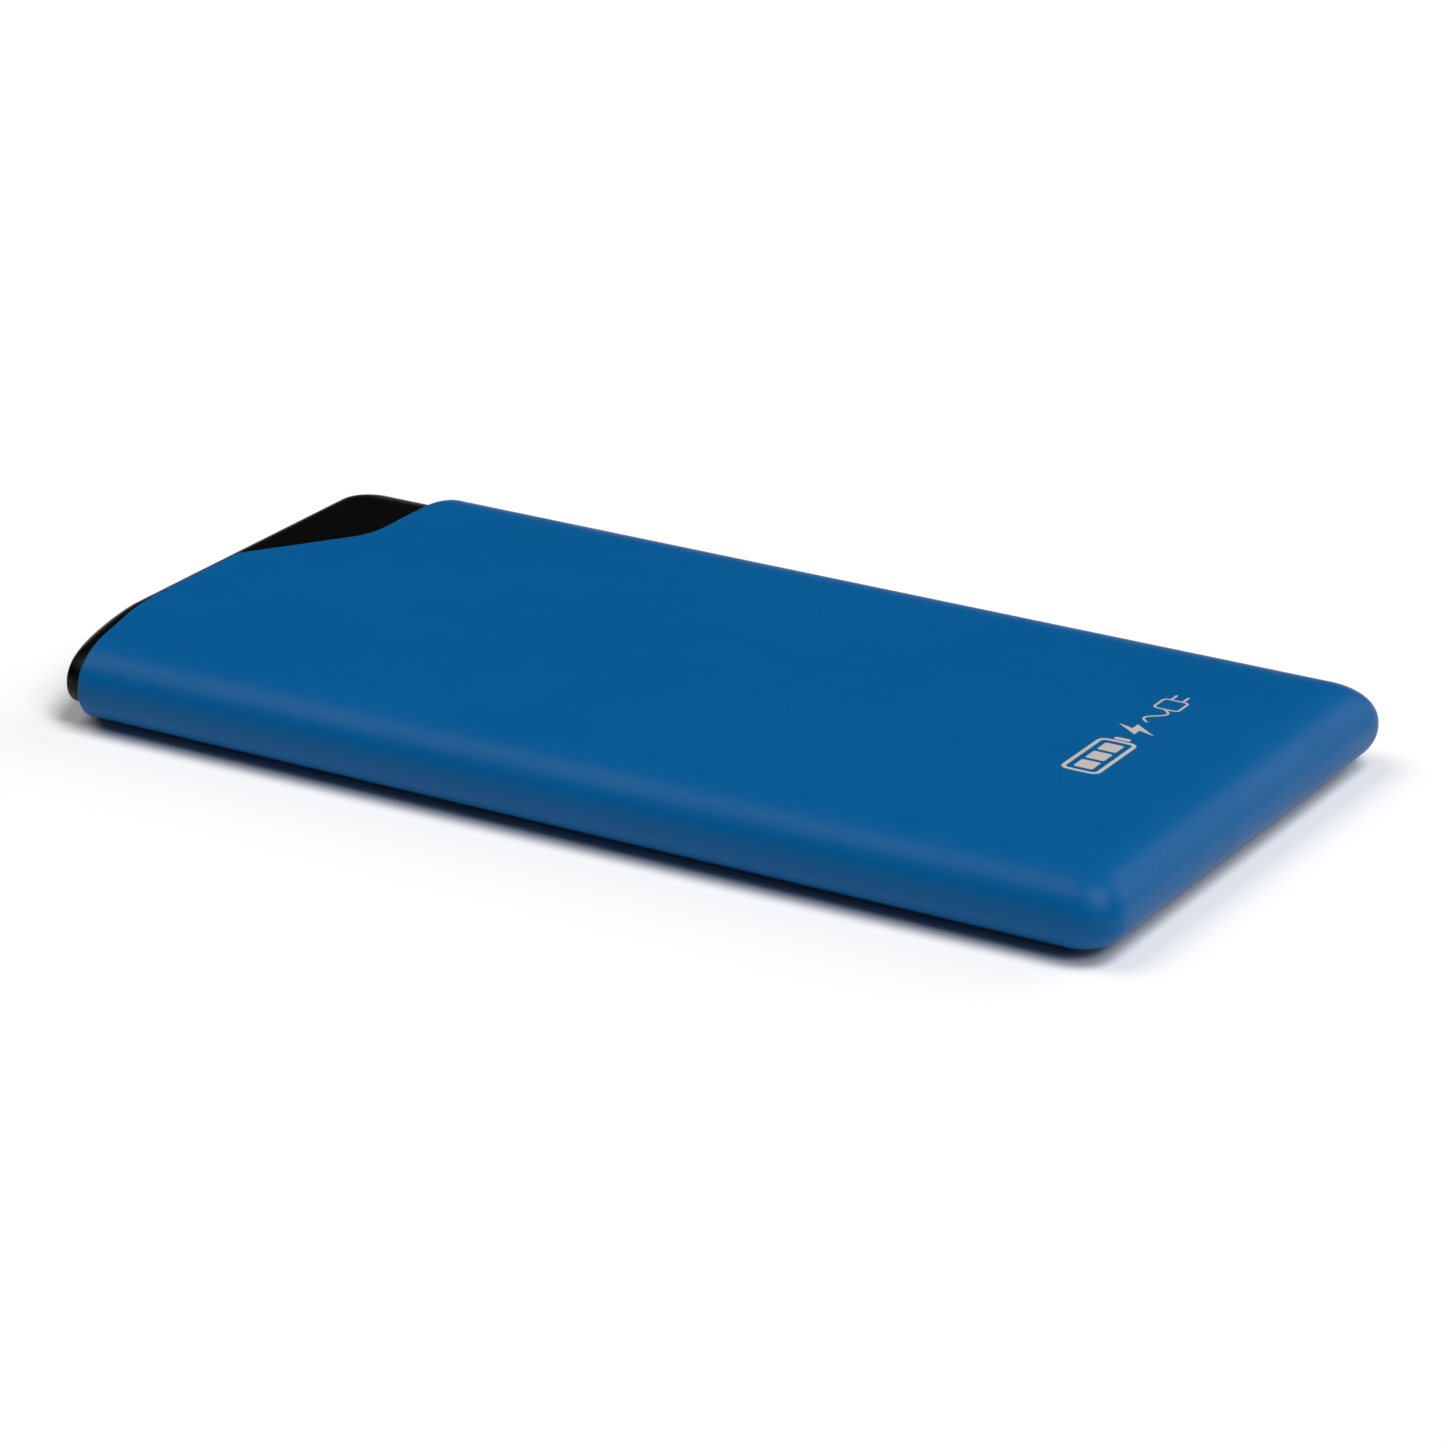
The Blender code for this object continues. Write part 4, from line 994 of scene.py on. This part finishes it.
def solder_mask(name, pitch=0.0005):
    """Green mask: stripes of tracks whose direction changes from one square block to the next.

    A coarse chequer picks x or y, a sine of that coordinate with the pitch gives the tracks, and
    they stand a hair above the laminate.
    """
    material = moulded_plastic(name, (0.006, 0.085, 0.032), 0.32, 0.0001, grain=0.08, gloss=0.6)
    tree, shader, place, _ = reopened(material)
    clouds = shader.inputs["Base Color"].links[0].from_socket
    tracks = []
    for direction in ("X", "Y"):
        wave = added(tree, "TexWave", {"Vector": place, "Scale": 0.314 / pitch})
        wave.bands_direction = direction
        tracks.append(wave.outputs["Fac"])
    chequer = {"Vector": place, "Scale": 1 / (9 * pitch), "Color1": (1, 1, 1, 1), "Color2": (0, 0, 0, 1)}
    blocks = added(tree, "TexChecker", chequer).outputs["Fac"]
    lines = added(tree, "MixRGB", {"Fac": blocks, "Color1": tracks[0], "Color2": tracks[1]})
    raised = ramp(tree, lines.outputs["Color"], 0.58, 0.66, (0, 0, 0), (1, 1, 1))
    tint = added(tree, "MixRGB", {"Fac": raised, "Color1": clouds, "Color2": (0.016, 0.165, 0.060, 1)})
    fed(tree, shader, {"Base Color": tint.outputs["Color"], "Normal": relief(tree, raised, 0.5, 0.00003)})
    return material


dressed(solder_mask("green_solder_mask"), "main_board", "protection_board")

# ------------------------------------------------------------
# Soldered parts. Epoxy chips on tinned legs, a moulded ferrite inductor, ceramic capacitors and
# resistors with tinned ends, and white light-emitting diodes that face the light pipe.
epoxy = moulded_plastic("epoxy_mould", (0.010, 0.010, 0.011), 0.55, 0.00006, 0.4)
ferrite = moulded_plastic("ferrite_mould", (0.045, 0.046, 0.050), 0.62, 0.00012, 0.6, gloss=0.3)
ceramic = moulded_plastic("fired_ceramic", (0.34, 0.235, 0.145), 0.42, 0.00010, 0.3)
phosphor = moulded_plastic("phosphor_resin", (0.74, 0.66, 0.20), 0.4, 0.00006, 0.5)
lamp_white = moulded_plastic("white_polyamide", (0.78, 0.78, 0.75), 0.45, 0.00008, 0.3)
tinned = metal("tinned_copper", (0.66, 0.66, 0.65), 0.38, grain=0.0002)


def painted(piece, material):
    """Gives a part of a piece that will be joined its own material."""
    piece.data.materials.clear()
    piece.data.materials.append(material)
    return piece


def bent_leg(x, y, out, low, body_z, reach, width):
    """Tinned strip of even thickness along an S: out of the body, down, and along the board.

    Its height falls from body_z to the pad as a smoothstep of the way out.
    """
    way = np.linspace(0, 1, 14)
    fall = np.clip((way - 0.25) / 0.4, 0, 1)
    z = body_z + (low + 0.00005 - body_z) * fall * fall * (3 - 2 * fall)
    rings = np.zeros((len(way), 4, 3))
    rings[..., 0] = x + np.array([-1, 1, 1, -1]) * width / 2
    rings[..., 1] = (y + out * reach * way)[:, None]
    rings[..., 2] = z[:, None] + np.array([-1, -1, 1, 1]) * 0.00005
    return painted(lofted("leg", rings), tinned)


def drafted_block(name, low, high, side, heights, radius, steps):
    """Moulded body, drawn in by an inset at each of its heights, and by side at both ends along Y."""
    return lofted(name, bar_rings(2, [
        (z, (low.x + inset, low.y + side + inset), (high.x - inset, high.y - side - inset), radius)
        for z, inset in heights
    ], steps))


def legged_chip(name, node, legs):
    """Moulded body with a drafted top and a pin-one dimple, on rows of legs along two sides."""
    low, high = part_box(node)
    reach, standoff = 0.00055, 0.0001
    foot = low.z + standoff
    mid = (foot + high.z) / 2
    ease = 0.00004
    heights = ((foot, 0.00006), (mid - ease, 0), (mid + ease, 0), (high.z - ease, 0.00007), (high.z, 0.00011))
    body = drafted_block(name, low, high, reach, heights, 0.0001, 3)
    pin_one, dot = (low.x + 0.0006, low.y + reach + 0.0006), 0.0002
    turn = np.linspace(0, 2 * np.pi, 17)[:-1] + 0.1
    circle = np.stack([pin_one[0] + dot * np.cos(turn), pin_one[1] + dot * np.sin(turn)], axis=1)
    dimple_ends = (high.z - 0.00006, high.z + 0.0003)
    dimple = lofted("dimple", [np.insert(circle, 2, z, axis=1) for z in dimple_ends])
    shaped(body, [dimple])
    painted(body, epoxy)
    pitch = (high.x - low.x) / legs
    pieces = [body]
    for number in range(legs):
        x = low.x + pitch * (number + 0.5)
        for edge, out in ((low.y + reach, -1), (high.y - reach, 1)):
            y = edge - out * standoff
            pieces.append(bent_leg(x, y, out, low.z, mid, reach + standoff, pitch * 0.42))
    return joined(name, pieces)


def tipped_block(name, node, material, along=1, tip=0.0004):
    """Fired block with a tinned cap over each end, a little larger than the block."""
    low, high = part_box(node)
    inset = np.full(3, 0.00004)
    inset[along] = tip * 0.6
    core = block(name, along, np.array(low) + inset, np.array(high) - inset, 0.00008, 0.00003, 3)
    pieces = [painted(core, material)]
    for start in (low[along], high[along] - tip):
        cap_from, cap_to = Vector(low), Vector(high)
        cap_from[along], cap_to[along] = start, start + tip
        pieces.append(painted(block("tip", along, cap_from, cap_to, 0.0001, 0.00005, 3), tinned))
    return joined(name, pieces)


for node, legs in (
    ("charge_controller", 8), ("boost_converter", 4), ("switching_mosfet_1", 4),
    ("switching_mosfet_2", 4), ("protection_chip", 3), ("protection_mosfet", 4),
):
    finished(legged_chip(f"{node}_package", node, legs), None, "housing", [node])
for node in ("buffer_capacitor_1", "buffer_capacitor_2", "buffer_capacitor_3", "thermistor"):
    finished(tipped_block(f"{node}_body", node, ceramic), None, "housing", [node])
resistor = tipped_block("sense_resistor_body", "sense_resistor", epoxy)
finished(resistor, None, "housing", ["sense_resistor"])

coil_low, coil_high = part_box("boost_inductor")
coil_inset, foot_size = 0.00012, 0.0011
heights = (
    (coil_low.z + 0.0001, 0.0001), (coil_low.z + 0.0003, 0.0), (coil_high.z - 0.0004, 0.0),
    (coil_high.z - 0.0001, 0.00015), (coil_high.z, 0.0004),
)
coil_body = drafted_block("coil_body", coil_low, coil_high, coil_inset, heights, 0.0009, 8)
coil_parts = [painted(coil_body, ferrite)]
coil_x = (coil_low.x + coil_high.x) / 2
foot_half = 0.0014
for low_y, high_y in ((coil_low.y, coil_low.y + foot_size), (coil_high.y - foot_size, coil_high.y)):
    foot_low = (coil_x - foot_half, low_y, coil_low.z)
    foot_high = (coil_x + foot_half, high_y, coil_low.z + foot_size)
    coil_parts.append(painted(block("foot", 0, foot_low, foot_high, 0.00012, 0.00008, 3), tinned))
finished(joined("moulded_inductor", coil_parts), None, "housing", ["boost_inductor"])

glow_inset = Vector((0, 0.0003, 0.00025))
for number, (low, high) in enumerate(led_boxes, 1):
    lamp = [painted(block("lamp", 2, low + Vector((0.0001, 0, 0)), high, 0.0001, 0.00005, 3), lamp_white)]
    glow_high = Vector((low.x + 0.0003, high.y, high.z)) - glow_inset
    lamp.append(painted(block("resin", 0, low + glow_inset, glow_high, 0.0001, 0.00004, 4), phosphor))
    finished(joined(f"side_view_lamp_{number}", lamp), None, "housing", [f"led_{number}"])

# ------------------------------------------------------------
# Tabs and leads. Two nickel strips are welded to the protection board. From there a red and a black
# silicone-covered lead run in one S to the main board, where they are soldered.
dressed(metal("nickel_strip", (0.60, 0.58, 0.53), 0.3, brush=(0.06, 1, 1)), "positive_tab", "negative_tab")
dressed(moulded_plastic("red_silicone", (0.42, 0.010, 0.010), 0.42, 0.0002, 0.12), "positive_lead")
dressed(moulded_plastic("black_silicone", (0.011, 0.011, 0.011), 0.42, 0.0002, 0.12), "negative_lead")

# ------------------------------------------------------------
# Studio: a pale sweep, broad soft lights overhead and behind, and the camera of the product view.
camera_place = (0.30430, -0.52114, 0.24002)
camera_turn, camera_tilt, camera_roll = 0.52485, 0.37573, 0.01083

camera_data = bpy.data.cameras.new("camera")
camera_data.lens = 140.48
camera_data.sensor_width = 36.0
camera_data.clip_start = 0.01
camera = placed("camera", camera_data)
camera.matrix_world = (
    Matrix.Translation(camera_place)
    @ Matrix.Rotation(camera_turn, 4, "Z")
    @ Matrix.Rotation(math.pi / 2 - camera_tilt, 4, "X")
    @ Matrix.Rotation(camera_roll, 4, "Z")
)
bpy.context.scene.camera = camera


def soft_light(name, towards, angle, power):
    """Distant light of even brightness, angle degrees across, that shines from a direction."""
    light = bpy.data.lights.new(name, "SUN")
    light.angle = math.radians(angle)
    light.energy = power
    placed(name, light).rotation_euler = Vector(towards).to_track_quat("Z", "Y").to_euler()


soft_light("overhead_light", (-0.47, -0.16, 0.87), 40, 1.04)
soft_light("corner_light", (0.36, 0.00, 0.93), 26, 1.56)
soft_light("low_corner_light", (0.66, -0.30, 0.69), 22, 0.83)
soft_light("rear_light", (0.44, 0.78, 0.44), 46, 0.72)

sweep_size, sweep_drop = 12.0, 0.0002
bpy.ops.mesh.primitive_plane_add(size=sweep_size, location=(0, 0, -sweep_drop))
sweep = bpy.context.object
sweep.name = "pale_sweep"
paper = bpy.data.materials.new("pale_paper")
paper.use_nodes = True
matt = {"Base Color": (0.96, 0.96, 0.96, 1), "Roughness": 0.9, "Specular IOR Level": 0.1}
fed(paper.node_tree, paper.node_tree.nodes["Principled BSDF"], matt)
sweep.data.materials.append(paper)
sweep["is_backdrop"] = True

world = bpy.data.worlds.new("studio")
world.use_nodes = True
background = world.node_tree.nodes["Background"]
fed(world.node_tree, background, {"Color": (1, 1, 1, 1), "Strength": 0.03})
bpy.context.scene.world = world
bpy.context.scene.view_settings.view_transform = "Standard"

low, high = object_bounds()
